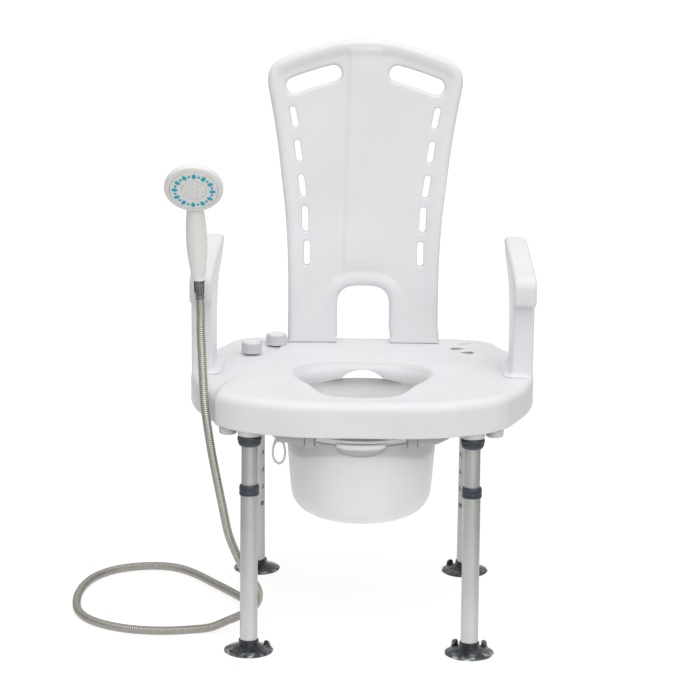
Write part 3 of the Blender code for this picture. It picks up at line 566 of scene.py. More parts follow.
# its front part lies in the shade of the seat
where = next(n for n in SPLASH.node_tree.nodes if n.type == "TEX_COORD")
split = SPLASH.node_tree.nodes.new("ShaderNodeSeparateXYZ")
SPLASH.node_tree.links.new(where.outputs["Object"], split.inputs[0])
rearward = spread(SPLASH.node_tree, split.outputs[1], 0.0, 1.0, -0.160, -0.100)
tint(SPLASH, ramp(SPLASH.node_tree, rearward, [(0.0, (0.56,) * 3), (1.0, (1.0,) * 3)]))
LOOP = plastic("loop_plastic", (0.84, 0.835, 0.81), rough=0.32)
RAIL = plastic("rail_plastic", (0.485, 0.476, 0.488), rough=0.45, shade=0.08)
GREY = plastic("bumper_plastic", (0.60, 0.595, 0.595), rough=0.48, shade=0.08)
KNOB = plastic("knob_plastic", (0.60, 0.61, 0.64), rough=0.36, shade=0.05)
KNOB_TOP = plastic("knob_cap_plastic", (0.78, 0.785, 0.80), rough=0.30)
SHOWER = plastic("shower_plastic", (0.810, 0.806, 0.782), rough=0.24, shade=0.02, grain_strength=0.004, wave=0.008, specular=0.5)
FACE = plastic("spray_plastic", (0.840, 0.830, 0.806), rough=0.28, shade=0.02, grain_strength=0.004, wave=0.008, specular=0.5)
CLIP = plastic("clip_plastic", (0.76, 0.76, 0.75), rough=0.34)
TEAL = plastic("nozzle_rubber", (0.008, 0.480, 0.640), rough=0.45, shade=0.14, grain=900.0, grain_strength=0.05)
UNDER = plastic("under_plastic", (0.610, 0.610, 0.605), rough=0.40)
# a dark grey that paints shade: inside the drain slots and in the grooves of the rail ends
SHADE_GREY = plastic("painted_shade_plastic", (0.440, 0.435, 0.425), rough=0.50, shade=0.08)
COLLAR = plastic("collar_plastic", (0.034, 0.043, 0.055), rough=0.30, shade=0.18, grain=800.0, grain_strength=0.10, specular=0.55)
FOOT = smoky_rubber("foot_rubber")
# painted shade: the rear feet are a little darker and the front ones a little lighter
where = next(n for n in FOOT.node_tree.nodes if n.type == "TEX_COORD")
split = FOOT.node_tree.nodes.new("ShaderNodeSeparateXYZ")
FOOT.node_tree.links.new(where.outputs["Object"], split.inputs[0])
far = spread(FOOT.node_tree, split.outputs[1], 0.0, 1.0, -0.10, 0.10)
tint(FOOT, ramp(FOOT.node_tree, far, [(0.0, (1.15,) * 3), (1.0, (0.62,) * 3)]))
ALU = metal("tube_metal", (0.580, 0.586, 0.568), 0.36, shade=0.03, metallic=0.80)
# a little darker on the sides of each tube and at the rear: painted shade
where = next(n for n in ALU.node_tree.nodes if n.type == "TEX_COORD")
facing = ALU.node_tree.nodes.new("ShaderNodeSeparateXYZ")
ALU.node_tree.links.new(where.outputs["Normal"], facing.inputs[0])
turned = spread(ALU.node_tree, facing.outputs[0], 0.0, 1.0, -1.0, 1.0)
tint(ALU, ramp(ALU.node_tree, turned, [(0.0, (0.88,) * 3), (0.12, (0.98,) * 3), (0.30, (1.0,) * 3), (0.70, (1.0,) * 3),
                                       (0.86, (0.90,) * 3), (1.0, (0.76,) * 3)]))
split = ALU.node_tree.nodes.new("ShaderNodeSeparateXYZ")
ALU.node_tree.links.new(where.outputs["Object"], split.inputs[0])
behind = spread(ALU.node_tree, split.outputs[1], 0.0, 1.0, -0.05, 0.05)
tint(ALU, ramp(ALU.node_tree, behind, [(0.0, (1.0,) * 3), (1.0, (0.83,) * 3)]))
STEEL = metal("button_metal", (0.20, 0.20, 0.20), 0.25, stretch=(1, 1, 1), scale=300.0)
CHROME = metal("fitting_metal", (0.30, 0.31, 0.30), 0.16, stretch=(1, 1, 0.3), scale=260.0, strength=0.03)


def hose_metal():
    """Spiral-wound steel: warm grey, with painted shade where the windings meet."""
    mat, tree, shader, where = grow("hose_metal")
    at = where.outputs["Object"]
    mottle = noise(tree, at, 260.0, 3.0, 0.6)
    layer = tree.nodes.new("ShaderNodeAttribute")
    layer.attribute_name = "groove"
    body = ramp(tree, mottle, [(0.32, (0.430, 0.410, 0.365)), (0.70, (0.590, 0.572, 0.525))])
    # darker where it lies on the ground: painted shade
    split = tree.nodes.new("ShaderNodeSeparateXYZ")
    tree.links.new(at, split.inputs[0])
    dull = tree.nodes.new("ShaderNodeMix")
    dull.data_type = "RGBA"
    dull.blend_type = "MULTIPLY"
    dull.inputs[0].default_value = 1.0
    tree.links.new(body, dull.inputs[6])
    low = spread(tree, split.outputs[2], 0.0, 1.0, 0.015, 0.120)
    tree.links.new(ramp(tree, low, [(0.0, (0.72, 0.72, 0.72)), (1.0, (1.0, 1.0, 1.0))]), dull.inputs[7])
    body = dull.outputs[2]
    # painted shade in the grooves between the windings
    mix = tree.nodes.new("ShaderNodeMix")
    mix.data_type = "RGBA"
    tree.links.new(layer.outputs["Fac"], mix.inputs[0])
    tree.links.new(body, mix.inputs[6])
    mix.inputs[7].default_value = (0.250, 0.236, 0.206, 1.0)
    tree.links.new(mix.outputs[2], shader.inputs["Base Color"])
    tree.links.new(spread(tree, mottle, 0.20, 0.36), shader.inputs["Roughness"])
    bumps(tree, shader, [(mottle, 0.10, 0.0003)])
    shader.inputs["Metallic"].default_value = 0.85
    return mat


HOSE = hose_metal()


# ------------------------------------------------------------------ camera
FOCUS, PITCH, ROLL = 3125.0, math.radians(14.5), math.radians(0.56)
EYE_AT = Vector((0.0200, -4.9275, 1.720))
YAW = math.atan(12.4 / FOCUS) + 0.0200 / 4.72
look_at = Vector((-math.sin(YAW) * math.cos(PITCH), math.cos(YAW) * math.cos(PITCH), -math.sin(PITCH)))
level = Vector((math.cos(YAW), math.sin(YAW), 0.0))
upward = level.cross(look_at)
right = level * math.cos(ROLL) + upward * math.sin(ROLL)
top_of = -level * math.sin(ROLL) + upward * math.cos(ROLL)
camera_data = bpy.data.cameras.new("camera")
camera_data.sensor_width = 36.0
camera_data.lens = 36.0 * FOCUS / 700.0
camera_data.clip_start, camera_data.clip_end = 0.1, 200.0
camera = bpy.data.objects.new("camera", camera_data)
SCENE.collection.objects.link(camera)
turned = Matrix((right, top_of, -look_at)).transposed().to_4x4()
turned.translation = EYE_AT + SHIFT
camera.matrix_world = turned
SCENE.camera = camera

# ------------------------------------------------------------------ hose
GRIP_LOW = Vector((-0.2610, -0.0840, 0.5795))
GRIP_TOP = Vector((-0.2668, -0.0860, 0.7150))
HEAD = Vector((-0.2670, -0.1230, 0.7360))
HEAD_DIP = math.radians(31)
HOSE_R = 0.0070
grip_dir = (GRIP_TOP - GRIP_LOW).normalized()
HOSE_TOP = GRIP_LOW - grip_dir * (0.0300 + 2 * GAP)
HOSE_ROUTE = [tuple(HOSE_TOP), tuple(HOSE_TOP - grip_dir * 0.0220), (-0.2582, -0.0905, 0.4970), (-0.2559, -0.1045, 0.4640),
              (-0.2530, -0.1240, 0.4300), (-0.2500, -0.1420, 0.3970), (-0.2467, -0.1525, 0.3740), (-0.2428, -0.1590, 0.3500),
              (-0.2369, -0.1635, 0.3150), (-0.2284, -0.1675, 0.2716), (-0.2196, -0.1700, 0.2286), (-0.2106, -0.1681, 0.1838),
              (-0.2004, -0.1663, 0.1551), (-0.1879, -0.1701, 0.1297), (-0.1751, -0.1672, 0.1092), (-0.1656, -0.1582, 0.0908),
              (-0.1626, -0.1467, 0.0732), (-0.1668, -0.1339, 0.0550), (-0.1786, -0.1229, 0.0391), (-0.1951, -0.1161, 0.0270),
              (-0.2145, -0.1146, 0.0179), (-0.2416, -0.1215, 0.0086), (-0.2778, -0.1310, 0.0072), (-0.3220, -0.1372, 0.0071),
              (-0.3720, -0.1310, 0.0071), (-0.4140, -0.1115, 0.0071), (-0.4450, -0.0830, 0.0071), (-0.4640, -0.0450, 0.0071),
              (-0.4715, 0.0000, 0.0071), (-0.4720, 0.0450, 0.0071), (-0.4655, 0.0920, 0.0071), (-0.4500, 0.1350, 0.0071),
              (-0.4220, 0.1690, 0.0071), (-0.3860, 0.1880, 0.0071), (-0.3500, 0.1935, 0.0071), (-0.3160, 0.1840, 0.0071),
              (-0.2850, 0.1560, 0.0071), (-0.2480, 0.1050, 0.0071), (-0.2060, 0.0400, 0.0085), (-0.1890, 0.0040, 0.0110),
              (-0.1848, -0.0200, 0.0114)]
hose_line = smooth_path(HOSE_ROUTE, 12)
RIB = 0.0032


def make_hose():
    """One tube whose wall follows the winding: crowned ribs with a narrow groove between."""
    fine = even(hose_line, RIB / 6)
    sides = 18
    shape = Shape()
    tangents = []
    n = len(fine)
    for i in range(n):
        tangents.append((fine[min(i + 2, n - 1)] - fine[max(i - 2, 0)]).normalized())
    side = tangents[0].orthogonal().normalized()
    rows, groove = [], []
    for i, (p, t) in enumerate(zip(fine, tangents)):
        side = (side - t * side.dot(t)).normalized()
        other = t.cross(side)
        dip = (1.0, 0.42, 0.06, 0.0, 0.06, 0.42)[i % 6]
        r = HOSE_R - 0.00060 * dip
        ring = []
        for k in range(sides):
            a = 2 * math.pi * k / sides
            ring.append(p + side * (r * math.cos(a)) + other * (r * math.sin(a)))
        rows.append(shape.pts(ring))
        groove += [max(0.0, dip - 0.05) if dip < 1 else 1.0] * sides
    for a, b in zip(rows[:-1], rows[1:]):
        shape.bridge(a, b)
    shape.dome(rows[0][::-1])
    shape.dome(rows[-1])
    groove += [1.0, 1.0]
    mesh = shape.mesh("hose", angle=None, weld=1e-7)
    layer = mesh.attributes.new("groove", "FLOAT", "POINT")
    layer.data.foreach_set("value", np.array(groove[:len(mesh.vertices)], np.float32))
    return mesh


hose = bpy.data.objects.new("metal_hose", make_hose())
SCENE.collection.objects.link(hose)
hose.data.materials.append(HOSE)
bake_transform(hose)
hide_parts("shower_hose")


def make_end_nut():
    """A round nut with grip flutes and an open threaded mouth."""
    at = axis_matrix(hose_line[-1], hose_line[-1] - hose_line[-8])
    profile = soft([(0.0, 0.0003), (0.0094, 0.0003), (0.0112, 0.0026), (0.0112, 0.0192), (0.0100, 0.0220), (0.0092, 0.0220)], 0.0012)
    profile += [Vector((0.0092 - (0.0007 if k % 2 else 0.0), 0.0212 - k * 0.0011)) for k in range(9)]
    profile += [Vector(p) for p in ((0.0050, 0.0116), (0.0050, 0.0040), (0.0, 0.0040))]

    def flutes(a, r, z):
        if r > 0.0108 and 0.003 < z < 0.019:
            return r - 0.00045 * max(0.0, math.cos(18 * a)) ** 2
        return r
    shape = Shape()
    shape.turn(profile, 72, radius=flutes)
    return shape.mesh("end_nut", at)


end_nut = piece("hose_nut", make_end_nut(), "root", CHROME, ["hose_end_nut"])
hose_path = [tuple(p + SHIFT) for p in even(hose_line, 0.008)]


# ------------------------------------------------------------------ seat
SEAT_BOTTOM, SEAT_TOP_MID, SEAT_FALL, SEAT_WALL, SEAT_SKIN, SEAT_EDGE_R = 0.361, 0.41293, 0.0177, 0.0035, 0.0040, 0.015
SEAT_OUTLINE = [(0.0, -0.229), (0.06, -0.229), (0.11, -0.225), (0.155, -0.212), (0.20, -0.191),
                (0.232, -0.160), (0.252, -0.115), (0.268, -0.070), (0.278, -0.020), (0.279, 0.030),
                (0.272, 0.080), (0.258, 0.125), (0.240, 0.166), (0.218, 0.203), (0.188, 0.2235),
                (0.14, 0.229), (0.07, 0.228), (0.0, 0.227)]
VALLEY = [Vector(p) for p in ((0.2520, -0.1720), (0.2375, -0.1500), (0.2335, -0.1300), (0.2290, -0.1090), (0.2225, -0.0880),
                              (0.2126, -0.0665), (0.2050, -0.0460), (0.1977, -0.0256), (0.1900, 0.0000))]


def fine_line(points, per_span):
    pts = smooth_path([(p.x, p.y, 0.0) for p in points], per_span)
    return np.array([(p.x, p.y) for p in pts])


VALLEY_PTS = fine_line(VALLEY, 8)
VALLEY_S = np.concatenate([[0.0], np.cumsum(np.linalg.norm(np.diff(VALLEY_PTS, axis=0), axis=1))])


def valley(x, y):
    """How strongly the crease between the front lobe and the side wing shows here, 0 to 1."""
    ax = abs(x)
    if ax < 0.16 or y > 0.03:
        return 0.0
    d = VALLEY_PTS - np.array((ax, y))
    dist = np.hypot(d[:, 0], d[:, 1])
    i = int(dist.argmin())
    j = min(max(i, 1), len(VALLEY_PTS) - 2)
    t = VALLEY_PTS[j + 1] - VALLEY_PTS[j - 1]
    t = t / np.linalg.norm(t)
    rel = np.array((ax, y)) - VALLEY_PTS[i]
    side = t[0] * rel[1] - t[1] * rel[0]
    s = VALLEY_S[i] / VALLEY_S[-1]
    fade = (1.0 - smoothstep(0.22, 1.0, s)) * (0.18 if x > 0 else 1.0)
    # the path runs front to rear, so its right-hand side is the wing
    width = 0.0052 if side > 0 else 0.0200
    return fade * math.exp(-(dist[i] / width) ** 2)


def wing_drop(x, y):
    """The wings that carry the arms lie a little lower than the middle."""
    ax = abs(x)
    inner = 0.205 + 0.16 * max(0.0, -(y + 0.02))
    return 0.0016 * smoothstep(inner, inner + 0.022, ax) * smoothstep(-0.150, -0.105, y) * (1 - smoothstep(0.080, 0.130, y))


def oval(x, y, side):
    """Depth of the shallow oval recess behind each arm."""
    cx, cy = side * 0.177, 0.143
    ux, uy = -side * 0.26, 0.9656
    dx, dy = x - cx, y - cy
    along = dx * ux + dy * uy
    across = dx * uy - dy * ux
    f = math.hypot(along / 0.070, across / 0.0365)
    d = (f - 1.0) * 0.040
    if side > 0:
        return 0.0017 * (1 - smoothstep(-0.0075, 0.0006, d)) - 0.0004 * math.exp(-((d - 0.0020) / 0.0024) ** 2)
    return 0.0024 * (1 - smoothstep(-0.0030, 0.0006, d)) - 0.0009 * math.exp(-((d - 0.0020) / 0.0018) ** 2)


def seat_top(x, y):
    z = SEAT_TOP_MID - SEAT_FALL * y
    # the sitting area is dished towards the opening
    r = math.hypot(x / 1.15, (y + 0.055) / 1.0)
    z -= 0.0016 * (1 - smoothstep(0.115, 0.185, r))
    z -= 0.0062 * valley(x, y)
    z -= wing_drop(x, y)
    z -= oval(x, y, 1) + oval(x, y, -1) if y > 0.05 else 0.0
    return z


def edge_scale(y):
    """The rounded edge is tighter along the rear of the seat."""
    return lerp(1.0, 0.48, smoothstep(0.165, 0.205, y))


def seat_outline(count_step=0.0034):
    half = [Vector(p) for p in SEAT_OUTLINE]
    outline = half + [Vector((-p.x, p.y)) for p in half[-2:0:-1]]
    loop = even(smooth_loop(outline, 12), count_step, closed=True)
    return ccw(loop)


OPEN_SIDE = [(0.0, -0.1706), (0.0150, -0.1703), (0.0340, -0.1676), (0.0498, -0.1590), (0.0597, -0.1460),
             (0.0695, -0.1220), (0.0790, -0.0930), (0.0905, -0.0665), (0.1005, -0.0400), (0.1045, -0.0150),
             (0.1000, 0.0120), (0.0840, 0.0330), (0.0565, 0.0440), (0.0280, 0.0468), (0.0, 0.0472)]
OPEN_BOTTOM = 0.3840


def opening_outline():
    half = [Vector(p) for p in OPEN_SIDE]
    loop = smooth_loop(half + [Vector((-p.x, p.y)) for p in half[-2:0:-1]], 14)
    return ccw(even(loop, 0.0032, closed=True))


BACK_TILT = math.radians(6)
BACK_THICK = 0.027
BACK_Y, BACK_Z = 0.183, 0.4128
back_frame = axis_matrix((0.0, BACK_Y, BACK_Z), (0, -math.cos(BACK_TILT), math.sin(BACK_TILT)))
TONGUE = (0.054, 0.116, 0.0055, 0.0215, 0.047)


def round_rect(x0, x1, y0, y1, r, steps=6):
    out = []
    for cx, cy, a0 in ((x1 - r, y1 - r, 0), (x0 + r, y1 - r, 90), (x0 + r, y0 + r, 180), (x1 - r, y0 + r, 270)):
        for k in range(steps + 1):
            a = math.radians(a0 + 90 * k / steps)
            out.append(Vector((cx + r * math.cos(a), cy + r * math.sin(a))))
    return out


def even_loop(loop, step):
    return even(loop, step, closed=True)


def slot_loops():
    """The two drop-shaped drain slots, each round at one end and narrow at the other."""
    loops = []
    for cx, cy, way in ((0.1595, 0.1625, -1), (0.1735, 0.1350, 1)):
        drop = []
        for k in range(48):
            t = 2 * math.pi * k / 48
            drop.append(Vector((cx + way * 0.0125 * math.cos(t), cy + 0.0130 * math.sin(t) * (0.60 + 0.40 * math.cos(t)))))
        loops.append(ccw(even(ccw(drop), 0.0013, closed=True)))
    return loops


def make_seat():
    shape = Shape()
    outer = seat_outline()
    normal = loop_normals(outer)
    notch = [0.0052 * valley(p.x, p.y) for p in outer]
    hole = opening_outline()
    hole_n = loop_normals(hole)
    r = SEAT_EDGE_R
    # the lip of the opening is rounder at the sides than at the front and above the rear arch
    lip_r = [lerp(0.0100, 0.0125, smoothstep(-0.120, -0.040, p.y)) for p in hole]
    lip_r = [lerp(v, 0.0100, 1 - smoothstep(0.030, 0.055, abs(p.x))) if p.y > 0 else v for v, p in zip(lip_r, hole)]

    def ring(loop, normals, inset, height, extra=None):
        pts, flat = [], []
        for k, (p, n) in enumerate(zip(loop, normals)):
            q = p - n * (inset + (extra[k] if extra else 0.0))
            flat.append(q)
            pts.append((q.x, q.y, height(q.x, q.y)))
        return shape.pts(pts), flat

    def edge_ring(inset, drop):
        """A ring on the rounded edge, whose radius is smaller along the rear."""
        pts, flat = [], []
        for k, (p, n) in enumerate(zip(outer, normal)):
            f = edge_scale(p.y)
            q = p - n * (inset * f + notch[k])
            flat.append(q)
            pts.append((q.x, q.y, seat_top(q.x, q.y) - drop * f))
        return shape.pts(pts), flat

    def below(d):
        return lambda x, y: seat_top(x, y) - d

    def flat_at(z):
        return lambda x, y: z

    def turn_arc(radius, degrees):
        return radius * (1 - math.cos(math.radians(degrees))), radius * (1 - math.sin(math.radians(degrees)))

    rows = []
    for inset, z in ((0.0022, 0.3610), (0.0009, 0.3615), (0.0002, 0.3626), (0.0, 0.3645), (0.0, 0.3730), (0.0, 0.3850)):
        rows.append(ring(outer, normal, inset, flat_at(z), notch))
    for a in (0, 14, 28, 42, 56, 70, 80, 90):
        i, d = turn_arc(r, a)
        rows.append(edge_ring(i, d))
    for a, b in zip(rows[:-1], rows[1:]):
        shape.bridge(a[0], b[0])
    top_outer = rows[-1]
    # inside of the outer wall, up to the underside of the skin
    inner_rows = [ring(outer, normal, 0.0022, flat_at(0.3610), notch), ring(outer, normal, SEAT_WALL, flat_at(0.3618), notch),
                  ring(outer, normal, SEAT_WALL, flat_at(0.3850), notch)]
    for a in (0, 30, 60, 90):
        i, d = turn_arc(0.0105, a)
        inner_rows.append(ring(outer, normal, SEAT_WALL + i, below(SEAT_SKIN + d), notch))
    shape.bridge(inner_rows[0][0], rows[0][0])
    for a, b in zip(inner_rows[:-1], inner_rows[1:]):
        shape.bridge(b[0], a[0])
    under_outer = inner_rows[-1]

    # the opening: a rounded lip and a collar that stands down below the skin, arched at the rear
    def collar_low(x, y):
        if y > 0.0:
            lift = 0.3528 + math.sqrt(max(0.0, 0.0473 ** 2 - x * x))
            return max(lerp(OPEN_BOTTOM, OPEN_BOTTOM - 0.0050, smoothstep(0.036, 0.068, abs(x))), lift)
        return OPEN_BOTTOM - 0.0050
    hole_rows = []
    for a in (90, 76, 62, 48, 34, 20, 8, 0):
        pts, flat = [], []
        for p, n, e in zip(hole, hole_n, lip_r):
            i, d = turn_arc(e, a)
            q = p + n * i
            flat.append(q)
            pts.append((q.x, q.y, seat_top(q.x, q.y) - d))
        hole_rows.append((shape.pts(pts), flat))
    hole_rows.append(ring(hole, hole_n, 0.0, lambda x, y: collar_low(x, y) + 0.0010))
    hole_rows.append(ring(hole, hole_n, -0.0008, collar_low))
    hole_rows.append(ring(hole, hole_n, -0.0028, collar_low))
    hole_rows.append(ring(hole, hole_n, -SEAT_WALL, lambda x, y: collar_low(x, y) + 0.0010))
    hole_rows.append(ring(hole, hole_n, -SEAT_WALL - 0.0006, lambda x, y: seat_top(x, y) - SEAT_SKIN - 0.0020))
    hole_rows.append(ring(hole, hole_n, -SEAT_WALL - 0.0030, below(SEAT_SKIN)))
    for a, b in zip(hole_rows[:-1], hole_rows[1:]):
        shape.bridge(a[0], b[0])
    top_loops, under_loops = [top_outer, hole_rows[0]], [under_outer, hole_rows[-1]]

    # small through openings: drain slots, arm sockets, backrest mouths
    cuts = []
    for loop in slot_loops():
        cuts.append((loop, 0.0006))
    for sx in (-1, 1):
        xs = sorted((sx * 0.2470, sx * 0.2650))
        cuts.append((even_loop(round_rect(xs[0], xs[1], -0.0105, 0.0405, 0.002), 0.0026), 0.0008))
        front = back_frame @ Vector((0, -0.001, -TONGUE[2] + GAP))
        rear = back_frame @ Vector((0, -0.001, -TONGUE[3] - GAP))
        xs = sorted((sx * (TONGUE[0] - GAP), sx * (TONGUE[1] + GAP)))
        cuts.append((even_loop(round_rect(xs[0], xs[1], front.y - 0.0004, rear.y + 0.0004, 0.002), 0.0028), 0.0006))
    for loop, edge in cuts:
        loop = ccw(loop)
        ln = loop_normals(loop)
        rows = []
        for a in (90, 60, 30, 0):
            i, d = turn_arc(edge, a)
            rows.append(ring(loop, ln, -i, below(d)))
        rows.append(ring(loop, ln, 0.0, below(SEAT_SKIN)))
        for a, b in zip(rows[:-1], rows[1:]):
            shape.bridge(a[0], b[0])
        top_loops.append(rows[0])
        under_loops.append(rows[-1])
    shape.fill(top_loops, 0.0034, lambda x, y: (x, y, seat_top(x, y)))
    shape.fill(under_loops, 0.009, lambda x, y: (x, y, seat_top(x, y) - SEAT_SKIN), flip=True)
    # how deep each point of the lip and inner wall lies: 0 on the top, 1 on the wall; it sets the painted shade on the
    # lip and the painted light on the wall
    depth = {}
    for (row, _), value in zip(hole_rows, (0.0, 0.2, 0.35, 0.5, 0.65, 0.8, 0.92, 1.0, 1.0, 1.0, 0.9, 0.5)):
        for k in row:
            depth[shape.v[k]] = value
    mesh = shape.mesh("seat", angle=50)
    store(mesh, "depth", look_up(mesh, depth, 0.0))
    return mesh


piece("seat_shell", make_seat(), "root", WHITE, ["seat"])

LEG_LEAN = math.radians(3.8)
LEGS = {"front_left": (-1, -1), "front_right": (1, -1), "rear_left": (-1, 1), "rear_right": (1, 1)}


def foot_at(key):
    sx, sy = LEGS[key]
    return Matrix.Translation((sx * (0.1765 if sy < 0 else 0.1795), -0.2045 if sy < 0 else 0.2100, 0.0))


def leg_at(key):
    return foot_at(key) @ Matrix.Rotation(LEGS[key][1] * LEG_LEAN, 4, "X")


def make_under_seat():
    """Bosses for the legs, arm sockets, backrest sockets and stiffening ribs below the seat's skin."""
    shape = Shape()
    for key, (sx, sy) in LEGS.items():
        m = leg_at(key)
        boss = soft([(0.0131, 0.3516), (0.0176, 0.3516), (0.0190, 0.3540), (0.0198, 0.3800), (0.0200, 0.4085),
                     (0.0131, 0.4085)], 0.0012, closed=True)
        shape.turn(boss, 40, m, loop=True)
    for sx in (-1, 1):
        xs = sorted((sx * 0.2437, sx * 0.2683))
        inner = sorted((sx * 0.2470, sx * 0.2650))
        outer_loop = round_rect(xs[0], xs[1], -0.0137, 0.0437, 0.004)
        inner_loop = round_rect(inner[0], inner[1], -0.0105, 0.0405, 0.002)
        rows = []
        for loop, z in ((outer_loop, 0.4060), (outer_loop, 0.3668), (inner_loop, 0.3668), (inner_loop, 0.4060)):
            rows.append(shape.pts([(p.x, p.y, z if abs(p.x) < 0.262 else min(z, 0.4000)) for p in loop]))
        for a, b in zip(rows, rows[1:] + rows[:1]):
            shape.bridge(a, b)
        # backrest socket
        x0, x1 = sorted((sx * (TONGUE[0] - GAP), sx * (TONGUE[1] + GAP)))
        o = round_rect(x0 - 0.003, x1 + 0.003, -TONGUE[3] - 0.0033, -TONGUE[2] + 0.0033, 0.003)
        i = round_rect(x0, x1, -TONGUE[3] - GAP, -TONGUE[2] + GAP, 0.001)
        rows = []
        for loop, v in ((o, -0.0075), (o, -0.0440), (i, -0.0440), (i, -0.0075)):
            rows.append(shape.pts([back_frame @ Vector((p.x, v, p.y)) for p in loop]))
        for a, b in zip(rows, rows[1:] + rows[:1]):
            shape.bridge(a, b)
    # stiffening ribs
    ribs = []
    for sx in (-1, 1):
        ribs += [((sx * 0.150, -0.150), (sx * 0.150, 0.150)), ((sx * 0.200, -0.120), (sx * 0.200, 0.080)),
                 ((sx * 0.146, 0.060), (sx * 0.262, 0.060)), ((sx * 0.146, -0.050), (sx * 0.262, -0.050))]
    ribs += [((-0.130, 0.090), (0.130, 0.090)), ((-0.150, 0.150), (0.150, 0.150))]
    for (xa, ya), (xb, yb) in ribs:
        a, b = Vector((xa, ya)), Vector((xb, yb))
        d = (b - a).normalized()
        n = Vector((-d.y, d.x))
        count = 14
        rows = []
        for k in range(count + 1):
            p = a.lerp(b, k / count)
            top = seat_top(p.x, p.y) - 0.0030
            ring = []
            for w, z in ((-0.0010, top), (0.0010, top), (0.0008, top - 0.011), (-0.0008, top - 0.011)):
                q = p + n * w
                ring.append((q.x, q.y, z))
            rows.append(ring)
        shape.loft(rows)
    return shape.mesh("under_seat", angle=30)


piece("seat_ribs", make_under_seat(), "root", UNDER)


def make_slot_shade_sleeve():
    """A short dark sleeve inside each drain slot, open at the bottom: painted shade in the slot."""
    shape = Shape()
    for loop in slot_loops():
        normal = loop_normals(loop)
        rows = []
        for inset, depth in ((-0.0012, 0.0046), (0.0001, 0.0040), (0.0003, 0.0009), (0.0009, 0.0009), (0.0011, 0.0030),
                             (0.0013, 0.0150), (-0.0002, 0.0150), (-0.0012, 0.0054)):
            rows.append(shape.pts([(p.x - n.x * inset, p.y - n.y * inset, seat_top(p.x, p.y) - depth)
                                   for p, n in zip(loop, normal)]))
        for a, b in zip(rows, rows[1:] + rows[:1]):
            shape.bridge(a, b)
    return shape.mesh("slot_shade_sleeve", angle=50)


piece("drain_slot_shade", make_slot_shade_sleeve(), "root", SHADE_GREY)


# ------------------------------------------------------------------ backrest
BACK_SIDE = [(0.1277, 0.4128), (0.1270, 0.470), (0.1271, 0.500), (0.1280, 0.548), (0.1302, 0.595),
             (0.1340, 0.640), (0.1376, 0.670), (0.1427, 0.715), (0.1496, 0.765), (0.1574, 0.810),
             (0.1622, 0.835), (0.1638, 0.850), (0.1618, 0.864), (0.1555, 0.875), (0.1450, 0.8835),
             (0.1262, 0.8915), (0.0942, 0.9025), (0.0650, 0.9110), (0.0362, 0.9165), (0.0, 0.9190)]
LUMBAR = [(0.0455, 0.4128), (0.0440, 0.432), (0.0438, 0.476), (0.0415, 0.489), (0.0355, 0.498),
          (0.0265, 0.5035), (0.0140, 0.5060), (0.0, 0.5064)]
BACK_SLOTS = [((0.122, 0.804), (0.117, 0.773)), ((0.114, 0.748), (0.110, 0.716)),
              ((0.107, 0.691), (0.103, 0.657)), ((0.100, 0.638), (0.099, 0.599)),
              ((0.096, 0.580), (0.096, 0.542))]
HAND_SLOT = [(0.1195, 0.8405), (0.1030, 0.8467), (0.0866, 0.8522), (0.0700, 0.8573), (0.0537, 0.8617)]
BACK_UP = math.cos(BACK_TILT)


def on_back(x, z):
    return Vector((x, (z - BACK_Z) / BACK_UP))


def back_outline():
    side = smooth_path([(*on_back(*p), 0.0) for p in BACK_SIDE] , 8)
    side = [Vector((p.x, p.y)) for p in side]
    arch = smooth_path([(*on_back(*p), 0.0) for p in LUMBAR], 5)
    arch = [Vector((p.x, p.y)) for p in arch]
    # even spacing along each stretch while the four corners at the foot stay
    right_side = even(side, 0.0042)
    left_side = [Vector((-p.x, p.y)) for p in right_side[-2::-1]]
    half_foot = even(arch, 0.0036)
    foot = [Vector((-p.x, p.y)) for p in half_foot] + half_foot[-2::-1]
    y0 = side[0].y
    left_base = [Vector((lerp(-side[0].x, -arch[0].x, k / 18), y0)) for k in range(1, 18)]
    right_base = [Vector((lerp(arch[0].x, side[0].x, k / 18), y0)) for k in range(1, 18)]
    return ccw(right_side + left_side + left_base + foot + right_base)


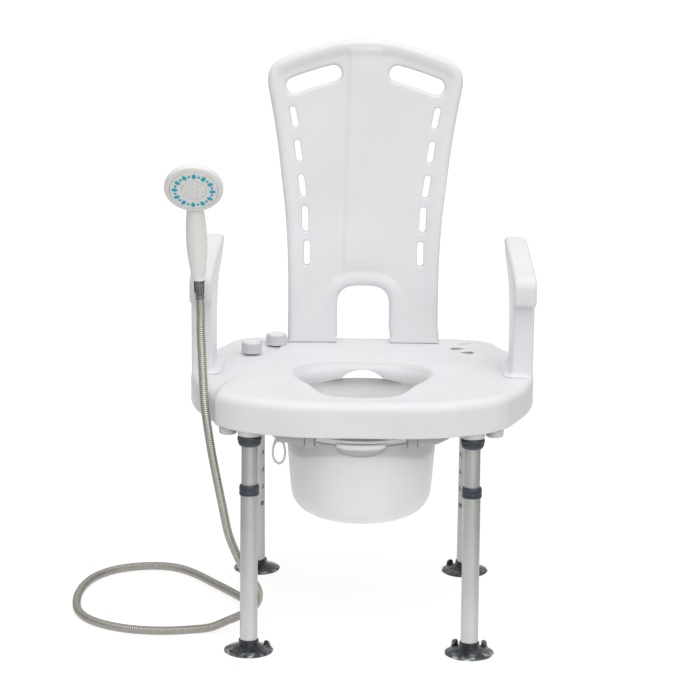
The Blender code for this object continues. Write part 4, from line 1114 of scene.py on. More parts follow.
def make_backrest():
    shape = Shape()
    outer = back_outline()
    tree = kdtree.KDTree(len(outer))
    for i, p in enumerate(outer):
        tree.insert((p.x, p.y, 0.0), i)
    tree.balance()

    def front(x, y):
        """Height of the front face: a soft raised rim, a flat field and a slightly raised middle band."""
        d = tree.find((x, y, 0.0))[2] if y > 0.02 else min(tree.find((x, y, 0.0))[2] + 0.02, 0.05)
        rim = 0.0034 * (1 - smoothstep(0.013, 0.027, d)) * smoothstep(0.02, 0.10, y)
        top = 0.4915
        half = lerp(0.0335, 0.0262, clamp01((y - 0.13) / 0.35))
        band = (1 - smoothstep(half - 0.0022, half + 0.0022, abs(x))) * (1 - smoothstep(top - 0.003, top + 0.003, y))
        band *= smoothstep(0.100, 0.135, y)
        hollow = 0.0018 * math.exp(-((x / 0.050) ** 2) - (((y - 0.110) / 0.022) ** 2))
        bow = 0.0020 * (1 - (x / 0.16) ** 2)
        return rim + 0.0022 * band - hollow - bow - 0.0020

    def ring(loop, normals, inset, height):
        pts, flat = [], []
        for p, n in zip(loop, normals):
            q = p - n * inset
            flat.append(q)
            pts.append((q.x, q.y, height(q.x, q.y)))
        return shape.pts(pts), flat

    on = loop_normals(outer)
    foot_edge = [1.0 if p.y > 0.004 else 0.30 for p in outer]

    def edge_ring(inset, drop, face):
        pts, flat = [], []
        for p, n, k in zip(outer, on, foot_edge):
            q = p - n * (inset * k)
            z = (front(q.x, q.y) - drop * k) if face == "front" else (-BACK_THICK + drop * k)
            # the foot is cut level with the seat below it
            q.y -= 0.0028 * (1 + z / BACK_THICK) * (1 - smoothstep(0.0, 0.010, p.y))
            flat.append(q)
            pts.append((q.x, q.y, z))
        return shape.pts(pts), flat

    rf, rb = 0.0095, 0.0070
    rows = []
    for a in (90, 78, 64, 50, 36, 22, 10, 0):
        s, c = math.sin(math.radians(a)), math.cos(math.radians(a))
        rows.append(edge_ring(rf * (1 - c), rf * (1 - s), "front"))
    for a in (0, 20, 45, 70, 90):
        s, c = math.sin(math.radians(a)), math.cos(math.radians(a))
        rows.append(edge_ring(rb * (1 - c), rb * (1 - s), "rear"))
    for a, b in zip(rows[:-1], rows[1:]):
        shape.bridge(b[0], a[0])
    front_loops, rear_loops = [rows[0]], [rows[-1]]

    holes = []
    for sx in (-1, 1):
        for (xa, za), (xb, zb) in BACK_SLOTS:
            a, b = on_back(sx * xa, za - 0.003), on_back(sx * xb, zb + 0.003)
            holes.append((even_loop(stadium([b, a], 0.00525), 0.0016), 0.0022, 0.0016))
        path = smooth_path([(*on_back(sx * x, z), 0.0) for x, z in HAND_SLOT], 4)
        holes.append((even_loop(stadium([Vector((p.x, p.y)) for p in path], 0.0138, 12), 0.0024), 0.0048, 0.0040))
    for loop, ef, eb in holes:
        loop = ccw(loop)
        ln = loop_normals(loop)
        rows = []
        for a in (90, 70, 45, 20, 0):
            s, c = math.sin(math.radians(a)), math.cos(math.radians(a))
            rows.append(ring(loop, ln, -ef * (1 - c), lambda x, y, s=s: front(x, y) - ef * (1 - s)))
        for a in (0, 45, 90):
            s, c = math.sin(math.radians(a)), math.cos(math.radians(a))
            rows.append(ring(loop, ln, -eb * (1 - c), lambda x, y, s=s: -BACK_THICK + eb * (1 - s)))
        for a, b in zip(rows[:-1], rows[1:]):
            shape.bridge(b[0], a[0])
        front_loops.append(rows[0])
        rear_loops.append(rows[-1])
    shape.fill(front_loops, 0.0042, lambda x, y: (x, y, front(x, y)))
    shape.fill(rear_loops, 0.0070, lambda x, y: (x, y, -BACK_THICK), flip=True)
    # tongues that drop into the seat
    for sx in (-1, 1):
        xs = sorted((sx * TONGUE[0], sx * TONGUE[1]))
        rows = []
        for v, g in ((0.012, 0.0), (-0.040, 0.0), (-0.0455, 0.0012), (-0.0470, 0.0030)):
            loop = round_rect(xs[0] + g, xs[1] - g, -TONGUE[3] + g * 0.6, -TONGUE[2] - g * 0.6, 0.0022)
            rows.append([(p.x, v, p.y) for p in loop])
        shape.loft(rows)
    shape.v = [(p[0] * 0.9945 - 0.0009, p[1], p[2]) if p[1] > 0.02 else p for p in shape.v]
    return shape.mesh("backrest", back_frame, angle=50)


piece("backrest_panel", make_backrest(), "back", PEARL, ["backrest"])

# ------------------------------------------------------------------ plates with rounded edges
def slab(shape, outline, thick, place_at, front_r=0.001, rear_r=0.001, holes=(), spacing=0.006, steps=3, crown=0.0):
    """A plate with rounded edges. place_at(u, v, w) maps the plane and the depth w (0 to -thick) to space.
    The radii are numbers or one number per outline point."""
    def rounded(loop, way, fr, rr, bulge=0.0):
        nn = loop_normals(loop)
        m = len(loop)
        fr = fr if isinstance(fr, list) else [fr] * m
        rr = rr if isinstance(rr, list) else [rr] * m
        rows = []
        for k in range(steps, -1, -1):
            a = math.pi / 2 * k / steps
            c, s = math.cos(a), math.sin(a)
            pts, flat = [], []
            for p, n, r in zip(loop, nn, fr):
                q = p - n * (way * r * (1 - c))
                flat.append(q)
                pts.append(place_at(q.x, q.y, -r * (1 - s)))
            rows.append((shape.pts(pts), flat))
        if bulge:
            for f in (0.3, 0.5, 0.7):
                pts = []
                for p, n, r0, r1 in zip(loop, nn, fr, rr):
                    q = p + n * (way * bulge * 4 * f * (1 - f))
                    pts.append(place_at(q.x, q.y, lerp(-r0, -thick + r1, f)))
                rows.append((shape.pts(pts), None))
        for k in range(steps + 1):
            a = math.pi / 2 * k / steps
            c, s = math.cos(a), math.sin(a)
            pts, flat = [], []
            for p, n, r in zip(loop, nn, rr):
                q = p - n * (way * r * (1 - c))
                flat.append(q)
                pts.append(place_at(q.x, q.y, -thick + r * (1 - s)))
            rows.append((shape.pts(pts), flat))
        for a, b in zip(rows[:-1], rows[1:]):
            shape.bridge(b[0], a[0])
        return rows[0], rows[-1]
    outer = ccw(outline)
    first, last = rounded(outer, 1, front_r, rear_r, crown)
    fronts, rears = [first], [last]
    for loop, hr in holes:
        a, b = rounded(ccw(loop), -1, hr, hr)
        fronts.append(a)
        rears.append(b)
    shape.fill(fronts, spacing, lambda u, v: place_at(u, v, 0.0))
    shape.fill(rears, spacing, lambda u, v: place_at(u, v, -thick), flip=True)


def soft_radii(loop, rule, passes=6):
    """One edge radius per point by a rule, evened out along the loop."""
    values = [rule(p) for p in loop]
    for _ in range(passes):
        values = [(values[k - 1] + 2 * v + values[(k + 1) % len(values)]) / 4 for k, v in enumerate(values)]
    return values


# ------------------------------------------------------------------ arms
ARM_X0, ARM_X1, ARM_TOE = 0.243, 0.277, 0.024
PAD_X0, PAD_X1 = 0.2420, 0.2785
PAD_SIDE = [(-0.0440, 0.5342), (-0.0570, 0.5342), (-0.0595, 0.5390), (-0.0600, 0.5525), (-0.0590, 0.5662),
            (-0.0545, 0.5757), (-0.0450, 0.5807), (0.0000, 0.5837), (0.0800, 0.5882), (0.1500, 0.5912),
            (0.1950, 0.5925), (0.2100, 0.5912), (0.2165, 0.5862), (0.2170, 0.5802), (0.2120, 0.5772),
            (0.2000, 0.5765), (0.1300, 0.5734), (0.0500, 0.5694), (-0.0292, 0.5649), (-0.0368, 0.5627),
            (-0.0408, 0.5570), (-0.0412, 0.5400)]
ARM_PAIRS = [((-0.0350, 0.4330), (0.0656, 0.4330)), ((-0.0351, 0.4550), (0.0670, 0.4550)), ((-0.0358, 0.4800), (0.0697, 0.4800)),
             ((-0.0377, 0.5030), (0.0745, 0.5005)), ((-0.0396, 0.5200), (0.0812, 0.5180)), ((-0.0402, 0.5380), (0.0890, 0.5285)),
             ((-0.0403, 0.5542), (0.0975, 0.5350)), ((-0.0380, 0.5609), (0.1040, 0.5380)), ((-0.0290, 0.5642), (0.1110, 0.5407)),
             ((0.0000, 0.5660), (0.1180, 0.5430)), ((0.0500, 0.5687), (0.1260, 0.5454)), ((0.0950, 0.5710), (0.1420, 0.5487)),
             ((0.1350, 0.5729), (0.1630, 0.5528)), ((0.1700, 0.5745), (0.1830, 0.5572)), ((0.1920, 0.5754), (0.1985, 0.5607)),
             ((0.2020, 0.5753), (0.2050, 0.5627)), ((0.2075, 0.5734), (0.2087, 0.5662))]

seat_edge = even(smooth_loop([Vector(p) for p in SEAT_OUTLINE] + [Vector((-p[0], p[1])) for p in SEAT_OUTLINE[-2:0:-1]], 12), 0.0008, closed=True)
edge_tree = kdtree.KDTree(len(seat_edge))
for i, p in enumerate(seat_edge):
    edge_tree.insert((p.x, p.y, 0.0), i)
edge_tree.balance()
side_half = sorted([(p.y, p.x) for p in seat_edge if p.x > 0.15 and -0.17 < p.y < 0.17])
side_y, side_x = [p[0] for p in side_half], [p[1] for p in side_half]


def edge_x(y):
    return float(np.interp(y, side_y, side_x))


def seat_surface(x, y):
    """Height of the seat's upper side with its rounded edge."""
    d = edge_tree.find((x, y, 0.0))[2]
    top = seat_top(x, y)
    if d >= SEAT_EDGE_R:
        return top
    return top - SEAT_EDGE_R + math.sqrt(max(0.0, SEAT_EDGE_R ** 2 - (SEAT_EDGE_R - d) ** 2))


def long_rect(x0, x1, y0, y1, r, steps=5, straight=5):
    """A rounded rectangle with extra points on its straight sides."""
    out = []
    corners = ((x1 - r, y1 - r, 0), (x0 + r, y1 - r, 90), (x0 + r, y0 + r, 180), (x1 - r, y0 + r, 270))
    for i, (cx, cy, a0) in enumerate(corners):
        arc = []
        for k in range(steps + 1):
            a = math.radians(a0 + 90 * k / steps)
            arc.append(Vector((cx + r * math.cos(a), cy + r * math.sin(a))))
        out += arc
        nx, ny, na = corners[(i + 1) % 4]
        nxt = Vector((nx + r * math.cos(math.radians(na)), ny + r * math.sin(math.radians(na))))
        out += [arc[-1].lerp(nxt, k / (straight + 1)) for k in range(1, straight + 1)]
    return out


def toe(y):
    return max(0.0, y + 0.05) * ARM_TOE


def make_arm(sx):
    shape = Shape()
    rings = []
    # spigot that drops into the seat
    for g, z in ((0.0024, 0.3670), (0.0008, 0.3676), (0.0, 0.3700), (0.0, 0.3900)):
        rings.append([Vector((p.x, p.y, z)) for p in long_rect(0.2475 + g, 0.2645 - g, -0.010 + g, 0.040 - g, 0.0026)])

    def draped(d, h, r, flat=None):
        out = []
        for p in long_rect(ARM_X0 - d * 1.08, ARM_X1 + d, -0.0350 - d * 0.32, 0.0655 + d * 0.95, r):
            x = min(p.x - toe(p.y), edge_x(p.y) - 0.0006)
            out.append(Vector((x, p.y, seat_surface(x, p.y) + h)))
        return out
    root = [Vector((p.x, p.y, seat_surface(p.x, p.y) + GAP)) for p in long_rect(0.2475, 0.2645, -0.010, 0.040, 0.0026)]
    rings.append(root)
    rings.append([a.lerp(b, 0.5) for a, b in zip(root, draped(0.0095, GAP, 0.012))])
    for p in rings[-1]:
        p.z = seat_surface(p.x, p.y) + GAP
    rings.append(draped(0.0100, GAP, 0.0125))
    rings.append(draped(0.0116, GAP, 0.0135))
    rings.append(draped(0.0121, 0.0008, 0.0139))
    rings.append(draped(0.0118, 0.0016, 0.0137))
    base_r, lift = 0.0115, 0.0019
    for a in (84, 72, 60, 48, 36, 24, 12):
        c, s = math.cos(math.radians(a)), math.sin(math.radians(a))
        rings.append(draped(base_r * (1 - c), lift + base_r * (1 - s), 0.0048 + 0.0085 * (1 - c)))
    for f, q in ARM_PAIRS:
        f, q = Vector(f), Vector(q)
        d = (f - q).normalized()
        length = (f - q).length
        r = min(0.0048, length * 0.42)
        ring = []
        for p in long_rect(ARM_X0, ARM_X1, 0.0, length, r):
            yz = q + d * p.y
            ring.append(Vector((p.x - toe(yz.x), yz.x, yz.y)))
        rings.append(ring)
    # turn the upper rings so that their points follow on from the base below
    count = len(rings[0])
    base = len(rings) - len(ARM_PAIRS)
    lower, upper = rings[base - 1], rings[base]
    best = None
    for flip in (False, True):
        cand = upper[::-1] if flip else upper
        for s in range(count):
            e = sum((cand[(i + s) % count] - lower[i]).length_squared for i in range(0, count, 4))
            if best is None or e < best[0]:
                best = (e, flip, s)
    _, flip, s = best
    for k in range(base, len(rings)):
        ring = rings[k][::-1] if flip else rings[k]
        rings[k] = ring[s:] + ring[:s]
    shape.loft([[(sx * p.x, p.y, p.z) for p in ring] for ring in rings])
    return shape.mesh("arm", angle=46)


def make_pad(sx):
    shape = Shape()
    outline = ccw(even(soft(PAD_SIDE, 0.0035, True), 0.0021, closed=True))

    def rule(p):
        # large rounding on the top and front, small under the pad
        y, z = p.x, p.y
        under = 0.5649 + (y + 0.0292) * 0.0517
        if y < -0.043:
            return 0.0052
        if y > 0.205:
            return 0.0060 if z > 0.5787 else 0.0030
        return 0.0058 if z > under + 0.006 and z > 0.568 else 0.0016
    radii = soft_radii(outline, rule)
    slab(shape, outline, PAD_X1 - PAD_X0, lambda u, v, w: (sx * (PAD_X1 + w - toe(u)), u, v), radii, radii,
         spacing=0.0045, steps=5, crown=0.0004)
    return shape.mesh("arm_pad", angle=50)


for side, sx in (("left", -1), ("right", 1)):
    piece("arm_post_" + side, make_arm(sx), "arm_" + side, ARM, ["arm_frame_" + side])
    piece("arm_rest_" + side, make_pad(sx), "arm_" + side, ARM_TOP, ["arm_pad_" + side])


# ------------------------------------------------------------------ legs
UPPER_TUBE = (0.0127, 0.0113, 0.112, 0.405)
LOWER_TUBE = (0.0140, 0.0130, 0.0088, 0.262)
HOLE_PITCH, HOLE_R, FIRST_HOLE, HOLE_TURN = 0.031, 0.0042, 0.124, math.radians(42)


def drilled_tube(name, tube, heights, hole_r, turn, matrix, spacing):
    """A thin tube with round holes through one side, its surface smooth all round."""
    ro, ri, z0, z1 = tube
    shape = Shape()
    around = 48
    squeeze = 0.30

    def on(r):
        return lambda u, z: (r * math.cos(u / ro + turn), r * math.sin(u / ro + turn), z)
    half = math.pi * ro
    cols = [-half + 2 * half * k / around for k in range(around)]
    levels = [z0 + (z1 - z0) * k / 40 for k in range(41)]
    made = {}
    for tag, r in (("out", ro), ("in", ri)):
        at = on(r)
        low = shape.pts([at(u, z0) for u in cols])
        high = shape.pts([at(u, z1) for u in cols])
        seam = shape.pts([at(-half, z) for z in levels[1:-1]])
        idx = low + [low[0]] + seam + [high[0]] + high[::-1] + seam[::-1]
        flat = ([(u, z0) for u in cols] + [(half, z0)] + [(half, z) for z in levels[1:-1]] + [(half, z1)]
                + [(u, z1) for u in cols[::-1]] + [(-half, z) for z in levels[1:-1][::-1]])
        loops = [(idx, [Vector(p) for p in flat])]
        rims = []
        for hz in heights:
            ring = circle(0.0, hz, hole_r, 26)
            ids = shape.pts([at(p.x, p.y) for p in ring])
            loops.append((ids, ring))
            rims.append(ids)
        shape.fill(loops, spacing, at, flip=(tag == "in"), stretch=(1.0, squeeze), margin=0.45)
        made[tag] = (low, high, rims)
    shape.bridge(made["out"][0], made["in"][0])
    shape.bridge(made["in"][1], made["out"][1])
    for a, b in zip(made["out"][2], made["in"][2]):
        shape.bridge(a, b)
    mesh = shape.mesh(name, matrix, angle=40)
    # even reflections: wall normals point straight out from the axis
    inv = (Matrix.Translation(SHIFT) @ matrix).inverted()
    rot = inv.inverted().to_3x3()
    normals = []
    for poly in mesh.polygons:
        n = inv.to_3x3() @ poly.normal
        for li in poly.loop_indices:
            p = inv @ mesh.vertices[mesh.loops[li].vertex_index].co
            radial = Vector((p.x, p.y, 0.0)).normalized()
            dot = radial.dot(n)
            if abs(dot) > 0.9:
                normals.append(rot @ (radial if dot > 0 else -radial))
            else:
                normals.append(poly.normal.copy())
    mesh.normals_split_custom_set([tuple(n) for n in normals])
    return mesh


def make_button(matrix):
    shape = Shape()
    shape.turn([(0.0, 0.0080), (0.0031, 0.0080), (0.0033, 0.0100), (0.0033, 0.0142), (0.0030, 0.0150), (0.0022, 0.0156),
                (0.0011, 0.0159), (0.0, 0.0160)], 28)
    # bent spring leaf inside the tube
    rows = []
    for k in range(9):
        t = k / 8
        x = lerp(-0.0035, 0.026, t)
        z = 0.0078 - 0.0016 * t
        rows.append([(x, -0.0034, z - 0.0003), (x, 0.0034, z - 0.0003), (x, 0.0034, z + 0.0003), (x, -0.0034, z + 0.0003)])
    shape.loft(rows)
    return shape.mesh("button", matrix, angle=40)


def make_upper_collar(matrix):
    shape = Shape()
    rows = soft([(0.0131, 0.3357), (0.0155, 0.3357), (0.0168, 0.3372), (0.0180, 0.3402), (0.0185, 0.3427), (0.0178, 0.3433),
                 (0.0179, 0.3440), (0.0191, 0.3445), (0.0194, 0.3477), (0.0191, 0.3499), (0.0184, 0.3511), (0.0131, 0.3511)],
                0.0006, closed=True, steps=2)
    shape.turn(rows, 56, loop=True)
    return shape.mesh("upper_collar", matrix, angle=35)


def make_lower_collar(matrix):
    shape = Shape()
    rows = soft([(0.0144, 0.2558), (0.0154, 0.2558), (0.0160, 0.2570), (0.0160, 0.2618), (0.0156, 0.2622), (0.0156, 0.2628),
                 (0.0160, 0.2632), (0.0160, 0.2696), (0.0153, 0.2718), (0.0143, 0.2730), (0.0131, 0.2730), (0.0131, 0.2624),
                 (0.0144, 0.2624)], 0.0005, closed=True, steps=2)
    shape.turn(rows, 56, loop=True)
    return shape.mesh("lower_collar", matrix, angle=35)


# rim tabs of each foot: turn in degrees, height, half width
FOOT_TABS = {"front_left": ((32, 0.0098, 0.0105), (215, 0.0092, 0.0066)), "front_right": ((45, 0.0135, 0.0072), (130, 0.0145, 0.0078)),
             "rear_left": ((72, 0.0105, 0.0066), (252, 0.0105, 0.0066)), "rear_right": ((135, 0.0120, 0.0082), (285, 0.0105, 0.0066))}


def make_foot(key, sx, sy):
    at = foot_at(key)
    shape = Shape()
    wobble = (0.7, 1.9, 0.2, 2.6)[(0 if sy < 0 else 2) + (0 if sx < 0 else 1)]

    def uneven(a, r, z):
        if r > 0.027:
            return r + 0.00028 * math.sin(9 * a + wobble) * (r - 0.027) / 0.012
        return r
    disc = soft([(0.0, 0.0030), (0.0240, 0.0024), (0.0310, 0.0), (0.0388, 0.0), (0.0397, 0.0008), (0.0388, 0.0021),
                 (0.0352, 0.0030), (0.0300, 0.0048), (0.0240, 0.0070), (0.0196, 0.0094), (0.0176, 0.0104), (0.0143, 0.0104),
                 (0.0143, 0.0085), (0.0, 0.0085)], 0.0012, steps=3)
    shape.turn(disc, 96, at, radius=uneven)
    m = leg_at(key)
    sleeve = soft([(0.0143, 0.0080), (0.0178, 0.0080), (0.0170, 0.0115), (0.0162, 0.0150), (0.0160, 0.0166), (0.0162, 0.0178),
                   (0.0157, 0.0190), (0.0148, 0.0194), (0.0143, 0.0190)], 0.0009, closed=True)
    shape.turn(sleeve, 56, m, loop=True)
    for ang, high, wide in FOOT_TABS[key]:
        turn = Matrix.Rotation(math.radians(ang), 4, "Z")
        outline = even(soft([(-wide, 0.0005), (wide, 0.0005), (0.92 * wide, 0.55 * high), (0.72 * wide, 0.90 * high), (0.28 * wide, high),
                             (-0.55 * wide, 0.93 * high), (-0.83 * wide, 0.66 * high)], 0.0016, True), 0.0011, closed=True)

        def put(u, v, w, turn=turn):
            r = 0.0376 + w - 0.0010 * (v / 0.011)
            a = u / 0.0376
            return at @ turn @ Vector((r * math.cos(a), r * math.sin(a), v))
        slab(shape, outline, 0.0030, put, 0.0008, 0.0008, spacing=0.0022)
    mesh = shape.mesh("foot", angle=45)
    # how far out each point lies: 0 at the leg, 1 at the rim
    centre = at.translation + SHIFT
    out = [clamp01((math.hypot(v.co.x - centre.x, v.co.y - centre.y) - 0.016) / 0.0215) for v in mesh.vertices]
    store(mesh, "outward", out)
    return mesh


for key, (sx, sy) in LEGS.items():
    m = leg_at(key)
    turn = math.atan2(-sy * math.sin(HOLE_TURN), -sx * math.cos(HOLE_TURN))
    look = (math.cos(turn), math.sin(turn), 0)
    piece("upper_tube_" + key, drilled_tube("upper_tube", UPPER_TUBE, [FIRST_HOLE], 0.0037, turn, m, 0.0030),
          "root", ALU, ["leg_upper_tube_" + key])
    piece("lower_tube_" + key, drilled_tube("lower_tube", LOWER_TUBE, [FIRST_HOLE + k * HOLE_PITCH for k in range(4)],
                                            HOLE_R, turn, m, 0.0026),
          "leg_" + key, ALU, ["leg_lower_tube_" + key])
    piece("top_collar_" + key, make_upper_collar(m), "root", COLLAR, ["upper_collar_" + key])
    piece("joint_collar_" + key, make_lower_collar(m), "leg_" + key, COLLAR, ["lower_collar_" + key])
    piece("height_button_" + key, make_button(m @ axis_matrix((0, 0, FIRST_HOLE), look, (0, 0, 1))), "button_" + key,
          STEEL, ["snap_button_" + key])
    piece("rubber_foot_" + key, make_foot(key, sx, sy), "leg_" + key, FOOT, ["foot_" + key])


def make_bumper(sx):
    shape = Shape()
    rows = soft([(0.0, 0.3485), (0.0122, 0.3485), (0.0142, 0.3500), (0.0145, 0.3560), (0.0140, 0.3566), (0.0145, 0.3572),
                 (0.0145, 0.3598), (0.0095, 0.3606), (0.0050, 0.3640), (0.0050, 0.4060), (0.0, 0.4060)], 0.0010)
    shape.turn(rows, 48, Matrix.Translation((sx * 0.2115, -0.160, 0.0)))
    return shape.mesh("bumper", angle=40)


for side, sx in (("left", -1), ("right", 1)):
    piece("under_bumper_" + side, make_bumper(sx), "root", GREY, ["seat_bumper_" + side])


# ------------------------------------------------------------------ pail, rails and splash ring
PAIL_Y = -0.070
PAIL_WALL = 0.0022
FLANGE_R, FLANGE_Z0, FLANGE_Z1 = 0.1325, 0.3375, 0.3400
EYE = Vector((-0.1330, PAIL_Y, 0.3150))


def make_pail():
    shape = Shape()
    wall = [Vector((0.0, 0.1970)), Vector((0.050, 0.1966)), Vector((0.0580, 0.1956)), Vector((0.0610, 0.1952)), Vector((0.0680, 0.1952))]
    wall += [Vector((p.x, p.y)) for p in smooth_path([(0.0680, 0.1952, 0), (0.0800, 0.1970, 0), (0.0930, 0.2022, 0), (0.1050, 0.2126, 0),
                                                     (0.1118, 0.2266, 0), (0.1150, 0.2520, 0), (0.1172, 0.2800, 0), (0.1212, 0.3340, 0)], 5)[1:]]
    inner = []
    for k in range(len(wall) - 1, 0, -1):
        p = wall[k]
        t = wall[min(k + 1, len(wall) - 1)] - wall[k - 1]
        n = Vector((t.y, -t.x)).normalized()
        inner.append(p - n * PAIL_WALL)
    profile = wall + [Vector(p) for p in ((0.1216, 0.3368), (0.1222, 0.3375), (0.1308, 0.3375), (0.1320, 0.3378), (0.1325, 0.3386),
                                          (0.1322, 0.3395), (0.1314, 0.3400), (0.1230, 0.3400), (0.1208, 0.3396), (0.1196, 0.3380))]
    profile += [p for p in inner if p.y < 0.3350 and p.x > 0.02] + [Vector((0.0, 0.1992))]
    at = Matrix.Translation((0.0, PAIL_Y, 0.0))
    shape.turn(profile, 144, at)
    # pull lip at the front: a face with a painted highlight and a scooped underside with painted shadow
    wide, sections = 0.0400, []
    for k in range(25):
        x = lerp(-wide, wide, k / 24)
        f = math.sqrt(max(0.0, 1 - (x / (wide + 0.0012)) ** 2))
        front = PAIL_Y - math.sqrt(0.1444 ** 2 - x * x)
        back = PAIL_Y - math.sqrt(0.1190 ** 2 - x * x)
        top, low = 0.3462, lerp(0.3412, 0.3374, f ** 0.7)
        deep = lerp(0.3380, 0.3196, f ** 0.8)
        face = lerp(back, front, 0.45 + 0.55 * f ** 0.5)
        rim = lerp(top, low, 0.5)
        edge = PAIL_Y - math.sqrt(0.1333 ** 2 - x * x)
        loop = [(x, back, 0.3386), (x, edge, 0.3390), (x, edge - 0.0007, top - 0.0006), (x, face + 0.0022, top), (x, face + 0.0007, top - 0.0006),
                (x, face, lerp(top, rim, 0.45)), (x, face, rim), (x, face + 0.0003, lerp(rim, low, 0.7)), (x, face + 0.0012, low),
                (x, lerp(face, back, 0.32), lerp(low, deep, 0.26)), (x, lerp(face, back, 0.62), lerp(low, deep, 0.56)), (x, back, deep)]
        sections.append([Vector(q) for q in loop])
    lip_rows = shape.loft(sections)
    # the stored lip value sets the painted highlight on the face and the painted shadow beneath
    look = {shape.v[row[k]]: value for row in lip_rows[1:-1]
            for k, value in ((3, 0.7), (4, 1.0), (5, 1.0), (6, 1.0), (7, 1.0), (8, 0.35), (9, 0.05), (10, 0.0), (11, 0.0))}
    # ear and pin that carry the loop
    ear = even(soft([(-0.1190, 0.3108), (-0.1360, 0.3108), (-0.1375, 0.3150), (-0.1360, 0.3192), (-0.1190, 0.3192)], 0.0022, True),
               0.0010, closed=True)
    slab(shape, ear, 0.0026, lambda u, v, w: (u, PAIL_Y - 0.0023 + w, v), 0.0006, 0.0006, spacing=0.0022)
    shape.turn([(0.0, 0.0), (0.0018, 0.0), (0.0018, 0.0046), (0.0024, 0.0048), (0.0024, 0.0054), (0.0, 0.0056)], 20,
               axis_matrix((EYE.x, PAIL_Y - 0.0035, EYE.z), (0, 1, 0)))
    mesh = shape.mesh("pail", angle=46)
    store(mesh, "lip", look_up(mesh, look, 0.5))
    return mesh


piece("pail_bowl", make_pail(), "pail_body", PAIL, ["pail"])


def make_loop():
    shape = Shape()
    outer = [(0.0, 0.0042), (-0.0052, 0.0028), (-0.0092, -0.0060), (-0.0118, -0.0200), (-0.0112, -0.0330),
             (-0.0060, -0.0420), (0.0010, -0.0445), (0.0075, -0.0400), (0.0110, -0.0300), (0.0112, -0.0200),
             (0.0080, -0.0060), (0.0050, 0.0028)]
    inner = [(0.0, -0.0068), (-0.0050, -0.0092), (-0.0080, -0.0200), (-0.0076, -0.0312), (-0.0038, -0.0382),
             (0.0010, -0.0402), (0.0050, -0.0368), (0.0074, -0.0288), (0.0076, -0.0200), (0.0050, -0.0092)]
    a = ccw(even(smooth_loop([Vector(p) for p in outer], 6), 0.0011, closed=True))
    b = ccw(even(smooth_loop([Vector(p) for p in inner], 6), 0.0011, closed=True))
    eye = circle(0.0, 0.0, 0.00215, 20)
    m = axis_matrix((EYE.x, PAIL_Y + 0.0010, EYE.z), (0, -1, 0))
    slab(shape, a, 0.0026, lambda u, v, w: m @ Vector((u, v, 0.0026 + w)), 0.0009, 0.0009, holes=[(b, 0.0009), (eye, 0.0003)],
         spacing=0.0014)
    return shape.mesh("pail_loop", angle=55)


piece("carry_loop", make_loop(), "pail_loop", LOOP, ["pail_handle"])


def make_rail(sx):
    shape = Shape()
    section = [(0.1395, 0.4066), (0.1395, 0.3540), (0.1345, 0.3335), (0.1262, 0.3335), (0.1262, 0.3372),
               (0.1332, 0.3372), (0.1332, 0.3440), (0.1290, 0.3440), (0.1290, 0.3470), (0.1352, 0.3470), (0.1352, 0.4066)]
    loop = even(soft(section, 0.0012, True, 2), 0.0024, closed=True)
    slab(shape, loop, 0.188, lambda u, v, w: (sx * u, -0.116 - w, v), 0.0005, 0.0005, spacing=0.0022, steps=2)
    # only the web runs on to the front block
    web = even(soft([(0.1395, 0.4066), (0.1395, 0.3600), (0.1352, 0.3600), (0.1352, 0.4066)], 0.0012, True, 2), 0.0024, closed=True)
    slab(shape, web, 0.076, lambda u, v, w: (sx * u, -0.190 - w, v), 0.0005, 0.0005, spacing=0.0022, steps=2)
    return shape.mesh("rail", angle=40)


def make_stop(sx):
    shape = Shape()
    face = [(0.0705, 0.3402), (0.0918, 0.3402), (0.0918, 0.3460), (0.1200, 0.3475), (0.1400, 0.3580), (0.1400, 0.4050), (0.0705, 0.4050)]
    loop = even(soft(face, 0.0022, True), 0.0020, closed=True)
    grooves = [even(round_rect(u0, u1, 0.3425, 0.3720, 0.0006, 2), 0.0010, closed=True) for u0, u1 in ((0.0722, 0.0742), (0.0884, 0.0898))]
    slab(shape, loop, 0.008, lambda u, v, w: (sx * u, -0.2085 - w, v), 0.0009, 0.0006, holes=[(g, 0.0002) for g in grooves], spacing=0.005)
    return shape.mesh("rail_stop", angle=40)


# dark floors behind the grooves of the rail ends: painted shade in the grooves
def make_groove_shade_floors(sx):
    shape = Shape()
    for u0, u1 in ((0.0720, 0.0744), (0.0882, 0.0900)):
        floor = even(round_rect(u0, u1, 0.3422, 0.3723, 0.0004, 2), 0.0010, closed=True)
        slab(shape, floor, 0.0012, lambda u, v, w: (sx * u, -0.2062 - w, v), 0.0002, 0.0002, spacing=0.004)
    return shape.mesh("groove_shade_floors", angle=40)


for side, sx in (("left", -1), ("right", 1)):
    piece("rail_groove_shade_" + side, make_groove_shade_floors(sx), "root", SHADE_GREY)
    piece("slide_rail_" + side, make_rail(sx), "root", RAIL, ["pail_rail_" + side])
    piece("rail_end_" + side, make_stop(sx), "root", RAIL, ["rail_stop_" + side])


def make_splash():
    shape = Shape()
    rows = soft([(0.1253, 0.3478), (0.1273, 0.3478), (0.1279, 0.3510), (0.1325, 0.3800), (0.1332, 0.3818), (0.1322, 0.3825),
                 (0.1305, 0.3805), (0.1259, 0.3510)], 0.0007, closed=True)
    shape.turn(rows, 128, Matrix.Translation((0.0, PAIL_Y, 0.0)), loop=True)
    return shape.mesh("splash", angle=40)


piece("splash_wall", make_splash(), "root", SPLASH, ["splash_ring"])


